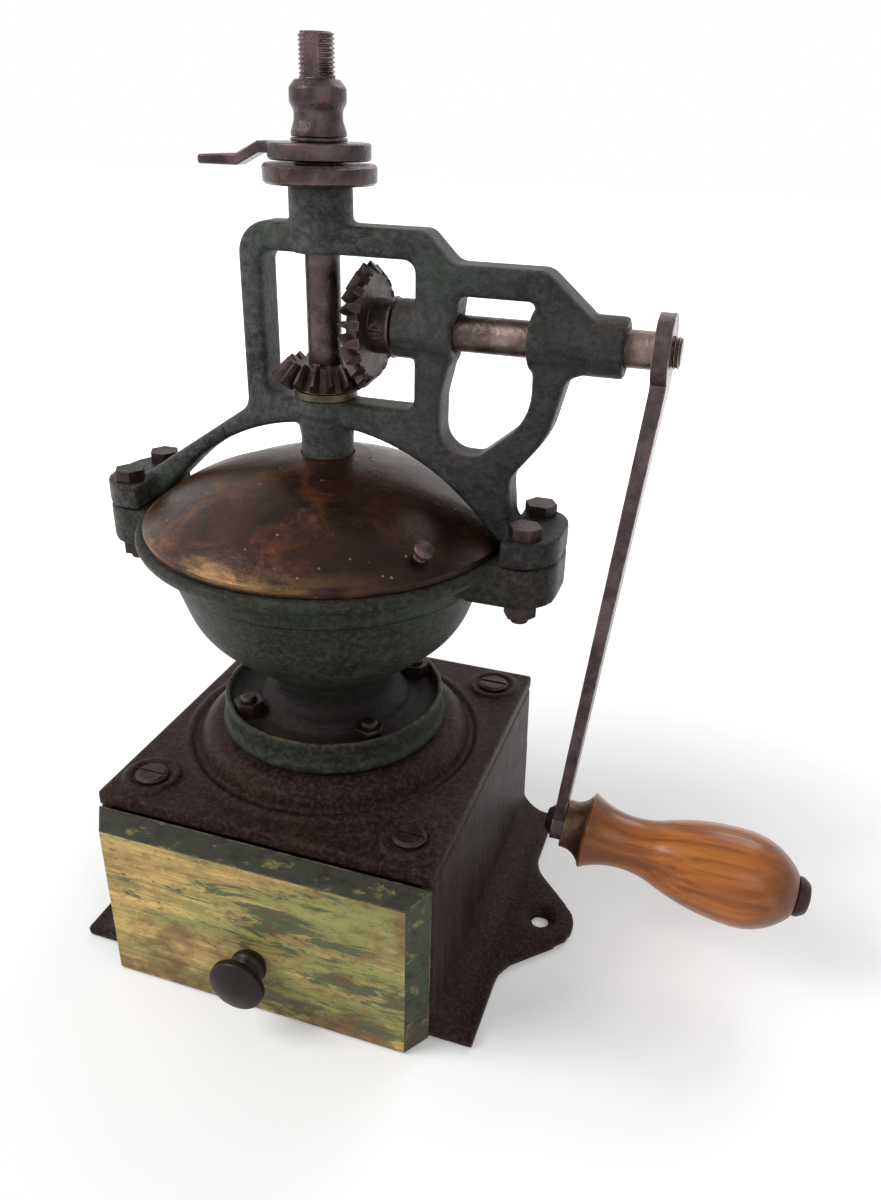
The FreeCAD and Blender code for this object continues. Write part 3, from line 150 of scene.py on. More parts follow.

# Colours of marks, wear, painted light and painted shade, as linear red, green and blue
IRON_BROWN = (0.024, 0.0120, 0.0100)
# grey of the upright streaks on the side walls, partly a painted sheen of light
IRON_STREAK_SHEEN = (0.095, 0.088, 0.090)
IRON_PIT = (0.006, 0.0036, 0.0033)
# light specks of the sand-grained skin, painted sheen standing in for glints of light
IRON_SAND_SHEEN = (0.058, 0.040, 0.036)
IRON_GLINT = (1.0, 0.66, 0.58)
PAINT_RUST = (0.060, 0.036, 0.030)
PAINT_SCRATCH = (0.15, 0.14, 0.11)
EAR_BLACK = (0.006, 0.004, 0.004)
EAR_RUST = (0.028, 0.017, 0.016)
HOPPER_FRESH = (0.022, 0.040, 0.017)
HOPPER_BARE = (0.011, 0.0085, 0.008)
HOPPER_EDGE = (0.120, 0.090, 0.045)
HOPPER_RING = (0.004, 0.005, 0.004)
# brassy line on the flange's top edge: worn metal with a painted highlight
HOPPER_BRASS_HIGHLIGHT = (0.125, 0.100, 0.045)
HOPPER_NECK = (0.012, 0.0085, 0.0078)
YOKE_FRESH = (0.034, 0.058, 0.042)
YOKE_BARE = (0.026, 0.021, 0.022)
YOKE_EDGE = (0.085, 0.050, 0.036)
# painted shade of the yoke's side toward the crank
YOKE_PAINTED_SHADE = (0.011, 0.011, 0.0105)
YOKE_CRACK = (0.004, 0.003, 0.003)
STEEL_RUST = (0.110, 0.048, 0.030)
STEEL_GLINT = (0.34, 0.28, 0.26)
LID_DARK = (0.012, 0.0055, 0.0045)
LID_RUST = (0.125, 0.040, 0.016)
LID_SOOT = (0.008, 0.004, 0.0035)
LID_SHADE = (0.007, 0.004, 0.0035)
LID_FLECK = (0.23, 0.125, 0.065)
LID_SPECK = (0.46, 0.34, 0.20)
BOARD_DARK = (0.34, 0.21, 0.075)
BOARD_FIBRE = (0.17, 0.09, 0.03)
BOARD_STAIN = (0.22, 0.105, 0.045)
BOARD_WASH = (0.215, 0.270, 0.078)
BOARD_THIN_PAINT = (0.16, 0.20, 0.075)
BOARD_MOTTLE = (0.12, 0.075, 0.030)
BOARD_SMUDGE = (0.145, 0.062, 0.026)
BOARD_EDGE = (0.48, 0.33, 0.13)
BOARD_FOOT = (0.11, 0.055, 0.028)
BOARD_SPOT = (0.055, 0.042, 0.020)
BEVEL_SIDE = (0.044, 0.058, 0.026)
BEVEL_TOP = (0.030, 0.031, 0.019)
BEVEL_DIRT = (0.016, 0.015, 0.010)
BEVEL_CHIP = (0.19, 0.165, 0.062)
GRIP_DARK = (0.185, 0.046, 0.008)
GRIP_WORN = (0.36, 0.13, 0.03)

# Steels and brasses: colour, least and most roughness, and strength of the rubbed edges
STEELS = {
    "worn_shaft": ((0.22, 0.150, 0.135), 0.10, 0.40, 0.84),
    "gear_steel": ((0.062, 0.036, 0.032), 0.28, 0.58, 0.528),
    "bolt_steel": ((0.042, 0.024, 0.021), 0.28, 0.58, 0.432),
    "old_brass": ((0.15, 0.080, 0.040), 0.24, 0.54, 0.72),
    "green_brass": ((0.105, 0.095, 0.050), 0.22, 0.52, 0.96),
}
# Woods: light and dark grain, worn edges, scale of the grain along each axis, least and most roughness
WOODS = {
    "drawer_wood": ((0.45, 0.30, 0.15), (0.28, 0.17, 0.08), (0.56, 0.40, 0.22), (60, 6, 60), 0.54, 0.70),
    "black_wood": ((0.013, 0.0072, 0.0058), (0.0045, 0.003, 0.003), (0.13, 0.045, 0.015), (90, 30, 90),
                   0.32, 0.48),
    "cap_wood": ((0.034, 0.008, 0.007), (0.014, 0.004, 0.004), (0.06, 0.016, 0.012), (60, 60, 60),
                 0.28, 0.44),
}
GRIP_GRAIN = (5, 190, 190)


def colour_property(name, description, default):
    """A colour setting, as linear red, green and blue."""
    return bpy.props.FloatVectorProperty(name=name, description=description, subtype="COLOR", size=3,
                                         min=0, max=1, default=default)


def length_property(name, description, default):
    """A length setting in metres."""
    return bpy.props.FloatProperty(name=name, description=description, unit="LENGTH", subtype="DISTANCE",
                                   default=default, min=0)


class MillColours(bpy.types.PropertyGroup):
    """Main colours of the mill's finishes."""
    iron: colour_property("Iron", "Dark cast iron of the base", (0.012, 0.0062, 0.0055))
    iron_worn: colour_property("Worn iron", "Reddish iron on rubbed edges", (0.070, 0.032, 0.026))
    paint: colour_property("Paint", "Dark green paint of the hopper", (0.0135, 0.0165, 0.0100))
    paint_grey: colour_property("Yoke paint", "Grey-green paint of the yoke", (0.042, 0.045, 0.041))
    steel: colour_property("Steel", "Brown oxidised steel", (0.092, 0.058, 0.060))
    lid: colour_property("Lid", "Brown patina of the lid", (0.050, 0.018, 0.010))
    lid_worn: colour_property("Worn lid", "Golden rubbed metal of the lid", (0.30, 0.17, 0.065))
    board: colour_property("Board", "Ochre wood of the drawer front", (0.78, 0.54, 0.195))
    board_paint: colour_property("Board paint", "Green paint left on the drawer front", (0.050, 0.085, 0.042))
    grip: colour_property("Grip", "Varnished wood of the handle", (0.50, 0.152, 0.024))
    floor: colour_property("Floor", "Pale floor", (0.90, 0.90, 0.90))


class MillSizes(bpy.types.PropertyGroup):
    """Sizes of the fine detail."""
    spindle_pitch: length_property("Spindle thread pitch", "Rise of the spindle's thread per turn", 1.6 * MM)
    crank_pitch: length_property("Crank thread pitch", "Rise of the crank end's thread per turn", 1.4 * MM)
    thread_depth: length_property("Thread depth", "Depth of the threads", 0.75 * MM)
    soft_edge: length_property("Soft edge", "Rounding of worn metal edges", 0.5 * MM)
    wood_edge: length_property("Wood edge", "Rounding of worn board edges", 0.9 * MM)
    cast_step: length_property("Casting step", "Mesh step of the softened castings", 1.5 * MM)


def colours():
    """The scene's colour settings."""
    return bpy.context.scene.mill_colours


def sizes():
    """The scene's size settings."""
    return bpy.context.scene.mill_sizes


def shaded(colour, factor):
    """A colour with each channel multiplied."""
    return tuple(channel * factor for channel in colour)


class Finish:
    """Builds one procedural material on Object coordinates, node by node."""

    def __init__(self, name):
        self.material = bpy.data.materials.new(name)
        self.material.use_nodes = True
        self.tree = self.material.node_tree
        self.shader = self.tree.nodes["Principled BSDF"]
        self.place = self.node("ShaderNodeTexCoord").outputs["Object"]

    def node(self, kind, **settings):
        """A new node of one kind, with its settings."""
        item = self.tree.nodes.new(kind)
        for key, value in settings.items():
            setattr(item, key, value)
        return item

    def put(self, value, socket):
        """Links an output, or writes a plain value."""
        if isinstance(value, bpy.types.NodeSocket):
            self.tree.links.new(value, socket)
        elif socket.type == "RGBA":
            socket.default_value = (*value, 1)
        else:
            socket.default_value = value

    def set(self, **sockets):
        """Sets the shader's sockets by name, with spaces written as underscores."""
        for key, value in sockets.items():
            self.put(value, self.shader.inputs[key.replace("_", " ")])
        return self

    def noise(self, scale, detail=5.0, rough=0.55, where=None, warp=0.0):
        """Cloudy noise from 0 to 1."""
        item = self.node("ShaderNodeTexNoise")
        self.put(where or self.place, item.inputs["Vector"])
        item.inputs["Scale"].default_value = scale
        item.inputs["Detail"].default_value = detail
        item.inputs["Roughness"].default_value = rough
        item.inputs["Distortion"].default_value = warp
        return item.outputs["Fac"]

    def grain(self, scales, detail, rough, turn=(0, 0, 0), warp=0.0):
        """Noise with a scale of its own on each axis, so that it runs along the smallest one."""
        mapping = self.node("ShaderNodeMapping")
        self.put(self.place, mapping.inputs["Vector"])
        mapping.inputs["Scale"].default_value = scales
        mapping.inputs["Rotation"].default_value = turn
        return self.noise(1, detail, rough, mapping.outputs["Vector"], warp)

    def specks(self, scale, low, high):
        """Small separate spots, 1 at their middle."""
        item = self.node("ShaderNodeTexVoronoi")
        self.put(self.place, item.inputs["Vector"])
        item.inputs["Scale"].default_value = scale
        return self.ramp(item.outputs["Distance"], high, low)

    def ramp(self, value, low, high):
        """0 below low, 1 above high, smooth between; low above high turns it round."""
        item = self.node("ShaderNodeMapRange", interpolation_type="SMOOTHSTEP")
        self.put(value, item.inputs["Value"])
        item.inputs["From Min"].default_value = min(low, high)
        item.inputs["From Max"].default_value = max(low, high)
        item.inputs["To Min"].default_value = float(low > high)
        item.inputs["To Max"].default_value = float(low <= high)
        return item.outputs["Result"]

    def patches(self, scale, low, high, detail=5.0, rough=0.55, warp=0.0):
        """Noise cut into soft-edged patches, from 0 below low to 1 above high."""
        return self.ramp(self.noise(scale, detail, rough, warp=warp), low, high)

    def line(self, value, middle, outer, inner):
        """1 where the value is within inner of the middle, 0 where it is past outer."""
        away = self.math("ABSOLUTE", self.math("SUBTRACT", value, middle))
        return self.ramp(away, outer, inner)

    def math(self, operation, left, right=0.0, clamp=False):
        """One sum on numbers, kept within 0 and 1 if clamp is set."""
        item = self.node("ShaderNodeMath", operation=operation, use_clamp=clamp)
        self.put(left, item.inputs[0])
        self.put(right, item.inputs[1])
        return item.outputs["Value"]

    def both(self, first, second):
        """The product of two masks, or of a mask and an amount."""
        return self.math("MULTIPLY", first, second)

    def either(self, first, second):
        """The sum of two masks, at most 1."""
        return self.math("ADD", first, second, clamp=True)

    def mix(self, mask, first, second):
        """First colour where the mask is 0, second where it is 1."""
        item = self.node("ShaderNodeMix", data_type="RGBA")
        self.put(mask, item.inputs["Factor"])
        self.put(first, item.inputs[6])
        self.put(second, item.inputs[7])
        return item.outputs[2]

    def over(self, tone, colour, mask, amount):
        """A colour laid over a tone by a mask, at most by the amount."""
        return self.mix(self.both(mask, amount), tone, colour)

    def between(self, mask, low, high):
        """A number that goes from low to high with the mask."""
        item = self.node("ShaderNodeMapRange")
        self.put(mask, item.inputs["Value"])
        item.inputs["To Min"].default_value = low
        item.inputs["To Max"].default_value = high
        return item.outputs["Result"]

    def axis(self, index):
        """One Object coordinate in metres."""
        item = self.node("ShaderNodeSeparateXYZ")
        self.put(self.place, item.inputs["Vector"])
        return item.outputs[index]

    def reach(self):
        """Distance from the spindle axis in metres."""
        flat = self.node("ShaderNodeVectorMath", operation="MULTIPLY")
        self.put(self.place, flat.inputs[0])
        flat.inputs[1].default_value = (1, 1, 0)
        item = self.node("ShaderNodeVectorMath", operation="LENGTH")
        self.put(flat.outputs["Vector"], item.inputs[0])
        return item.outputs["Value"]

    def facing(self, index):
        """One component of the surface's own direction, from -1 to 1."""
        item = self.node("ShaderNodeSeparateXYZ")
        self.put(self.node("ShaderNodeNewGeometry").outputs["True Normal"], item.inputs["Vector"])
        return item.outputs[index]

    def edges(self, reach, strength=1.0):
        """1 on convex and concave edges within reach, from the bend between flat and rounded normals."""
        bevel = self.node("ShaderNodeBevel", samples=4)
        bevel.inputs["Radius"].default_value = reach
        dot = self.node("ShaderNodeVectorMath", operation="DOT_PRODUCT")
        self.put(bevel.outputs["Normal"], dot.inputs[0])
        self.put(self.node("ShaderNodeNewGeometry").outputs["Normal"], dot.inputs[1])
        bend = self.math("SUBTRACT", 1.0, dot.outputs["Value"], clamp=True)
        return self.ramp(self.both(bend, strength), BEND_START, BEND_FULL)

    def bump(self, height, depth, strength):
        """Raises the surface by height times depth in metres; calls stack."""
        item = self.node("ShaderNodeBump")
        item.inputs["Strength"].default_value = strength
        item.inputs["Distance"].default_value = depth
        self.put(height, item.inputs["Height"])
        linked = self.shader.inputs["Normal"].links
        if linked:
            self.put(linked[0].from_socket, item.inputs["Normal"])
        self.put(item.outputs["Normal"], self.shader.inputs["Normal"])
        return self


def iron_finish():
    """Dark cast iron: sand-grained skin with painted sparkle of light, reddish rubbed edges, faint grey
    upright streaks with painted sheen on the side walls.
    """
    look = Finish("dark_iron")
    tone = look.mix(look.patches(34, 0.36, 0.68, detail=8, rough=0.7), tuple(colours().iron), IRON_BROWN)
    # grey upright streaks on the walls that face along X: partly real streaks, partly a painted sheen of
    # light
    streak_sheen = look.ramp(look.grain((260, 260, 9), detail=6, rough=0.7), 0.46, 0.76)
    side = look.ramp(look.math("ABSOLUTE", look.facing(0)), 0.8, 0.95)
    tone = look.over(tone, IRON_STREAK_SHEEN, look.both(streak_sheen, side), 0.45)
    wear = look.both(look.edges(1.6 * MM, 2.0), look.patches(120, 0.38, 0.6, detail=4))
    tone = look.over(tone, tuple(colours().iron_worn), wear, 0.85)
    tone = look.over(tone, IRON_PIT, look.patches(520, 0.46, 0.64, detail=6, rough=0.75), 0.4)
    # painted sheen: fine light specks stand in for the sparkle of light on the sand-grained skin
    tone = look.over(tone, IRON_SAND_SHEEN, look.patches(480, 0.44, 0.62, detail=6, rough=0.7), 0.6)
    look.set(Base_Color=tone, Roughness=look.between(look.noise(110, 6, 0.7), 0.22, 0.52),
             Specular_IOR_Level=0.08, Specular_Tint=IRON_GLINT)
    look.bump(look.patches(640, 0.58, 0.74, rough=0.7), -0.35 * MM, 0.8)
    look.bump(look.noise(520, 6, 0.7), 1.1 * MM, 0.6)
    return look.bump(look.noise(70, 3), 1.0 * MM, 0.3).material


def paint_finish(name, paint, fresh, bare, edge_tone, top_rust):
    """Old paint over iron, not yet closed: returns the finish and its colour, so that local marks can follow.

    Fresher patches lie on the paint; it is worn through in clouds and scratches; dirt sits in small pits;
    upper faces are rusty, and the ears at both sides go brown.
    """
    look = Finish(name)
    tone = look.mix(look.patches(30, 0.50, 0.68, detail=7, rough=0.65), paint, fresh)
    tone = look.mix(look.patches(210, 0.44, 0.70, detail=8, rough=0.72), tone, shaded(paint, 1.9))
    drag = look.grain((55, 55, 150), detail=7, rough=0.72, warp=0.6)
    wear_map = look.either(look.both(drag, 0.5), look.both(look.noise(26, 8, 0.7), 0.5))
    bare_mask = look.ramp(wear_map, 0.49, 0.57)
    tone = look.mix(bare_mask, tone, bare)
    upper = look.ramp(look.facing(2), 0.25, 0.85)
    rust = look.both(upper, look.patches(60, 0.30, 0.62, detail=6, rough=0.65))
    tone = look.over(tone, PAINT_RUST, rust, top_rust)
    ear = look.ramp(look.math("ABSOLUTE", look.axis(0)), EAR_START, EAR_END)
    ear = look.both(ear, look.ramp(look.axis(2), EAR_PAINTED, EAR_BROWN))
    tone = look.over(tone, look.mix(look.noise(80, 6), EAR_BLACK, EAR_RUST), ear, 0.9)
    scratch = look.ramp(look.grain((900, 900, 60), detail=4, rough=0.6, turn=(0.5, 0.3, 0.7)), 0.69, 0.75)
    tone = look.over(tone, PAINT_SCRATCH, scratch, 0.4)
    pits = look.patches(620, 0.60, 0.74, rough=0.7)
    tone = look.over(tone, shaded(paint, 0.35), pits, 0.55)
    wear = look.both(look.edges(1.6 * MM, 2.0), look.patches(150, 0.42, 0.62, rough=0.65))
    tone = look.over(tone, edge_tone, wear, 0.8)
    # painted sheen: specks lighter than the paint stand in for the sparkle of light on its pitted skin
    sandy_sheen = tuple(channel * 1.4 + 0.034 for channel in paint)
    tone = look.over(tone, sandy_sheen, look.patches(380, 0.44, 0.62, detail=6, rough=0.7), 0.6)
    look.set(Roughness=look.between(look.noise(150, 6, 0.7), 0.24, 0.54), Specular_IOR_Level=0.13)
    look.bump(bare_mask, -0.15 * MM, 0.8)
    look.bump(pits, -0.30 * MM, 0.8)
    look.bump(look.noise(430, 6, 0.7), 1.5 * MM, 0.65)
    look.bump(look.noise(55, 3), 1.5 * MM, 0.4)
    return look, tone


def hopper_finish():
    """Dark green paint, bare iron on the neck, a ring under the lip, a brassy line of worn metal and painted
    highlight on the flange's edge.
    """
    look, tone = paint_finish("green_paint", tuple(colours().paint), HOPPER_FRESH, HOPPER_BARE, HOPPER_EDGE,
                              top_rust=0.35)
    ring = look.line(look.axis(2), LIP_RING_HEIGHT, 0.5 * MM, 0.2 * MM)
    tone = look.over(tone, HOPPER_RING, ring, 0.8)
    look.bump(ring, -0.4 * MM, 0.8)
    flange_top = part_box("hopper")[0].z + FLANGE_HEIGHT
    # the brassy line along the flange's top edge is worn metal with a painted highlight, broken up by patches
    rim = look.line(look.axis(2), flange_top, 1.3 * MM, 0.4 * MM)
    rim = look.both(rim, look.ramp(look.reach(), FLANGE_RIM - RIM_WIDTH, FLANGE_RIM))
    rim = look.both(rim, look.patches(90, 0.40, 0.62, detail=6, rough=0.7))
    tone = look.over(tone, HOPPER_BRASS_HIGHLIGHT, rim, 0.8)
    neck = look.both(look.ramp(look.axis(2), flange_top + NECK_END, flange_top + NECK_START),
                     look.ramp(look.reach(), FLANGE_RIM, FLANGE_RIM - NECK_INSET))
    tone = look.over(tone, HOPPER_NECK, neck, 0.8)
    return look.set(Base_Color=tone).material


def yoke_finish():
    """Grey-green paint, with painted shade growing toward the crank side, and a hairline crack across the
    left leg.
    """
    look, tone = paint_finish("yoke_paint", tuple(colours().paint_grey), YOKE_FRESH, YOKE_BARE, YOKE_EDGE,
                              top_rust=0.75)
    # painted shade: the yoke darkens toward the crank side, broken up by noise
    shade = look.both(look.ramp(look.axis(0), YOKE_SHADE_START, YOKE_SHADE_END),
                      look.between(look.noise(35, 6, 0.7), 0.4, 1.0))
    tone = look.over(tone, YOKE_PAINTED_SHADE, shade, 0.8)
    wander = look.both(look.noise(160, 3), CRACK_WANDER)
    slant = look.both(look.axis(2), CRACK_SLANT)
    path = look.math("ADD", look.math("ADD", look.axis(0), wander), slant)
    crack = look.line(path, CRACK_PLACE, 0.7 * MM, 0.15 * MM)
    tone = look.mix(crack, tone, YOKE_CRACK)
    look.bump(crack, -0.5 * MM, 0.8)
    return look.set(Base_Color=tone).material


def steel_finish(name, tone, least, most, glint):
    """Oxidised steel or brass: brown skin with darker pits and a few rubbed glints."""
    look = Finish(name)
    skin = look.mix(look.patches(70, 0.34, 0.66, detail=7, rough=0.65), shaded(tone, 0.26), tone)
    rust = look.patches(190, 0.56, 0.72, detail=6, rough=0.7)
    skin = look.over(skin, STEEL_RUST, rust, 0.5)
    rubbed = look.both(look.edges(1.0 * MM), look.patches(130, 0.42, 0.62, detail=4))
    skin = look.over(skin, STEEL_GLINT, rubbed, glint)
    look.set(Base_Color=skin, Metallic=0.7, Roughness=look.between(look.noise(90, 5), least, most))
    look.bump(look.noise(500, 5, 0.7), 0.8 * MM, 0.5)
    look.bump(look.noise(120, 4, 0.6), 1.2 * MM, 0.4)
    return look.bump(rust, -0.1 * MM, 0.6).material


def lid_finish():
    """Patinated sheet metal: brown skin, golden rubbed clouds, a worn ridge over the skirt, pale specks,
    painted light on the left and painted shade on the right.
    """
    look = Finish("lid_patina")
    brown = look.mix(look.patches(24, 0.34, 0.70, detail=7, rough=0.62), LID_DARK, tuple(colours().lid))
    brown = look.over(brown, LID_RUST, look.patches(42, 0.46, 0.66, detail=8, rough=0.7, warp=0.4), 0.8)
    brown = look.over(brown, LID_SOOT, look.patches(15, 0.52, 0.68, rough=0.6), 0.8)
    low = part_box("lid_front")[0].z
    band = look.both(look.ramp(look.axis(2), low + BAND_TOP, low + BAND_HIGH),
                     look.ramp(look.axis(2), low + BAND_FOOT, low + BAND_LOW))
    band = look.both(band, look.ramp(look.grain((34, 34, 160), detail=6, rough=0.7), 0.42, 0.68))
    rubbed = look.patches(33, 0.56, 0.70, detail=9, rough=0.74, warp=0.5)
    # painted light: left runs from 0 on the lid's shaded right to 1 on its lit left side
    left = look.ramp(look.axis(0), LID_PAINTED_SHADE_X, LID_PAINTED_LIGHT_X)
    gold = look.either(look.both(rubbed, 0.42), look.both(band, 0.8))
    # golden rubbed wear, shown brighter toward the lit left as painted light
    tone = look.mix(look.both(gold, look.between(left, 0.15, 1.0)), brown, tuple(colours().lid_worn))
    # painted shade darkens the lid's right side
    tone = look.over(tone, LID_SHADE, look.ramp(left, 0.55, 0.0), 0.7)
    # pale flecks, kept to the lit left side as painted light
    fleck = look.both(look.patches(150, 0.57, 0.68, detail=8, rough=0.8),
                      look.patches(20, 0.42, 0.60, detail=4))
    tone = look.over(tone, LID_FLECK, look.both(fleck, left), 0.55)
    speck = look.both(look.specks(190, 0.06, 0.16), look.patches(18, 0.48, 0.60, detail=3))
    tone = look.over(tone, LID_SPECK, speck, 0.7)
    look.set(Base_Color=tone, Metallic=0.5, Roughness=look.between(look.noise(48, 6, 0.65), 0.18, 0.42),
             Specular_IOR_Level=0.24)
    look.bump(look.noise(240, 6, 0.7), 0.7 * MM, 0.45)
    return look.bump(look.noise(26, 3), 2.2 * MM, 0.35).material


def board_finish():
    """Worn drawer front: ochre wood with grain, green paint dragged along the board, darker bevels."""
    look = Finish("painted_board")
    grain = look.grain((7, 60, 190), detail=8, rough=0.68, warp=0.8)
    wood = look.mix(look.ramp(grain, 0.30, 0.70), BOARD_DARK, tuple(colours().board))
    fibres = look.ramp(look.grain((16, 300, 900), detail=5, rough=0.6), 0.55, 0.75)
    wood = look.over(wood, BOARD_FIBRE, fibres, 0.55)
    stain = look.ramp(look.grain((16, 24, 30), detail=5, rough=0.6), 0.54, 0.72)
    wood = look.over(wood, BOARD_STAIN, stain, 0.65)
    wash = look.ramp(look.grain((10, 30, 40), detail=6, rough=0.65), 0.42, 0.58)
    wood = look.over(wood, BOARD_WASH, wash, 0.68)
    dab = look.grain((26, 90, 105), detail=9, rough=0.75, warp=0.7)
    patch = look.grain((12, 20, 26), detail=3, rough=0.5)
    spread = look.either(look.both(dab, 0.6), look.both(patch, 0.4))
    paint = look.ramp(spread, 0.525, 0.57)
    wood = look.over(wood, BOARD_THIN_PAINT, look.ramp(spread, 0.48, 0.58), 0.5)
    tone = look.over(wood, tuple(colours().board_paint), paint, 0.88)
    mottle = look.ramp(look.grain((150, 220, 230), detail=8, rough=0.75, warp=0.5), 0.46, 0.66)
    tone = look.over(tone, BOARD_MOTTLE, mottle, 0.46)
    smudge = look.ramp(look.grain((24, 34, 44), detail=5, rough=0.65, turn=(0.2, 0.1, 0.4)), 0.50, 0.64)
    tone = look.over(tone, BOARD_SMUDGE, smudge, 0.66)
    chips = look.ramp(look.grain((60, 90, 90), detail=8, rough=0.75), 0.64, 0.55)
    slope = look.ramp(look.facing(1), -0.97, -0.90)
    bevel = look.mix(look.ramp(look.facing(2), 0.3, 0.6), BEVEL_SIDE, BEVEL_TOP)
    bevel = look.mix(look.patches(130, 0.46, 0.66, detail=7, rough=0.7), bevel, BEVEL_DIRT)
    tone = look.mix(slope, tone, look.mix(chips, BEVEL_CHIP, bevel))
    wear = look.both(look.edges(1.5 * MM), look.patches(140, 0.40, 0.60, detail=4))
    tone = look.over(tone, BOARD_EDGE, wear, 0.7)
    foot = look.both(look.ramp(look.axis(2), BOARD_FOOT_CLEAR, BOARD_FOOT_DARK),
                     look.patches(60, 0.38, 0.58, detail=6, rough=0.65))
    tone = look.over(tone, BOARD_FOOT, foot, 0.75)
    spots = look.ramp(look.grain((170, 320, 420), detail=6, rough=0.7, warp=0.4), 0.58, 0.68)
    tone = look.over(tone, BOARD_SPOT, spots, 0.7)
    look.set(Base_Color=tone, Roughness=look.between(paint, 0.62, 0.48), Specular_IOR_Level=0.3)
    look.bump(grain, 1.4 * MM, 0.4)
    look.bump(mottle, -0.12 * MM, 0.6)
    return look.bump(paint, 0.15 * MM, 0.8).material


def wood_finish(name, light, dark, worn, along, least, most, coat=0.0, turn=(0, 0, 0), ends=None):
    """Wood with long grain and worn edges; ends gives the X span toward whose two ends it darkens."""
    look = Finish(name)
    grain = look.grain(along, detail=7, rough=0.62, turn=turn, warp=0.35)
    tone = look.mix(look.ramp(grain, 0.30, 0.70), dark, light)
    pores = look.ramp(look.grain(shaded(along, 5), detail=4, rough=0.6, turn=turn), 0.58, 0.72)
    tone = look.over(tone, shaded(dark, 0.4), pores, 0.4)
    tone = look.over(tone, shaded(light, 0.55), look.patches(30, 0.45, 0.72, rough=0.6), 0.35)
    if ends:
        start = look.ramp(look.axis(0), ends[0] + GRIP_NECK_SHADE, ends[0])
        stop = look.ramp(look.axis(0), ends[1] - GRIP_BUTT_SHADE, ends[1])
        tone = look.over(tone, shaded(dark, 0.6), look.either(start, stop), 0.8)
    wear = look.both(look.edges(1.2 * MM), look.patches(90, 0.42, 0.62, detail=4))
    tone = look.over(tone, worn, wear, 0.6)
    look.set(Base_Color=tone, Roughness=look.between(look.noise(50, 4), least, most),
             Specular_IOR_Level=0.22, Coat_Weight=coat, Coat_Roughness=0.15)
    look.bump(grain, 0.4 * MM, 0.3)
    return look.bump(pores, -0.12 * MM, 0.5).material


def finishes():
    """All materials of the mill, made once, by the record's slot names and a few of their own."""
    if "mill_made" in bpy.context.scene:
        return {key: bpy.data.materials[name] for key, name in bpy.context.scene["mill_made"].items()}
    grip_low, grip_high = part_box("grip")
    made = {
        "dark_iron": iron_finish(),
        "green_paint": hopper_finish(),
        "yoke_paint": yoke_finish(),
        "bronze_sheet": lid_finish(),
        "painted_board": board_finish(),
        "rusty_steel": steel_finish("rusty_steel", tuple(colours().steel), least=0.10, most=0.40, glint=0.96),
        "varnished_wood": wood_finish("varnished_wood", tuple(colours().grip), GRIP_DARK, GRIP_WORN,
                                      GRIP_GRAIN, least=0.24, most=0.40, coat=0.22,
                                      turn=(0, -GRIP_TILT, 0), ends=(grip_low.x, grip_high.x)),
    }
    made.update({name: steel_finish(name, *steel) for name, steel in STEELS.items()})
    made.update({name: wood_finish(name, *wood) for name, wood in WOODS.items()})
    bpy.context.scene["mill_made"] = {key: item.name for key, item in made.items()}
    return made


def merged(node):
    """Corner points and triangles of a CAD node, with the loose triangles' shared corners merged."""
    mesh = frame["nodes"][node].data
    points = np.empty(len(mesh.vertices) * 3)
    mesh.vertices.foreach_get("co", points)
    corners = np.empty(len(mesh.loops), dtype=np.int64)
    mesh.loops.foreach_get("vertex_index", corners)
    keys = np.round(points.reshape(-1, 3) / MERGE_STEP).astype(np.int64)
    _, first, shared = np.unique(keys, axis=0, return_index=True, return_inverse=True)
    triangles = shared.reshape(-1)[corners].reshape(-1, 3)
    whole = ((triangles[:, 0] != triangles[:, 1]) & (triangles[:, 1] != triangles[:, 2])
             & (triangles[:, 2] != triangles[:, 0]))
    return points.reshape(-1, 3)[first], triangles[whole]


def body_of(node):
    """The record's body that carries a CAD node."""
    return next(body for body, nodes in frame["record"]["behaviour"]["bodies"].items() if node in nodes)


def slot_of(node):
    """The record's material slot of a CAD node."""
    return next(part["material_slot"] for part in frame["record"]["subparts"] if part["node"] == node)


def finished(name, mesh, node, finish=None):
    """Puts a mesh into the scene as the piece that stands for a CAD node."""
    piece = bpy.data.objects.new(name, mesh)
    bpy.context.scene.collection.objects.link(piece)
    mesh.materials.clear()
    mesh.materials.append(finishes()[finish or slot_of(node)])
    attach(piece, body_of(node))
    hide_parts(node)
    return piece


def join_flat_faces(mesh):
    """Joins the triangles of each flat face into one face, so that only real edges get rubbed."""
    work = bmesh.new()
    work.from_mesh(mesh)
    bmesh.ops.dissolve_limit(work, angle_limit=math.radians(FLAT_ANGLE), verts=work.verts[:],
                             edges=work.edges[:])
    work.to_mesh(mesh)
    work.free()


def smooth(mesh):
    """Shades every face of a mesh smooth."""
    mesh.polygons.foreach_set("use_smooth", np.ones(len(mesh.polygons), dtype=bool))


def smooth_by_angle(mesh, degrees):
    """Shades a mesh smooth, except across edges that bend by more than the angle."""
    smooth(mesh)
    mesh.set_sharp_from_angle(angle=math.radians(degrees))


def dressed(node, edge=0.0, finish=None):
    """A node's own shape with shared corners, smooth round faces and, if asked, rubbed edges."""
    points, triangles = merged(node)
    mesh = bpy.data.meshes.new(node + "_finished")
    mesh.from_pydata(points, [], triangles)
    join_flat_faces(mesh)
    smooth_by_angle(mesh, SMOOTH_ANGLE)
    piece = finished(node + "_finished", mesh, node, finish)
    if edge:
        bevel = piece.modifiers.new("rubbed_edges", "BEVEL")
        bevel.width = edge
        bevel.segments = 2
        bevel.angle_limit = math.radians(RUBBED_ANGLE)
        bevel.use_clamp_overlap = True
        bevel.miter_outer = "MITER_ARC"
        bevel.harden_normals = True


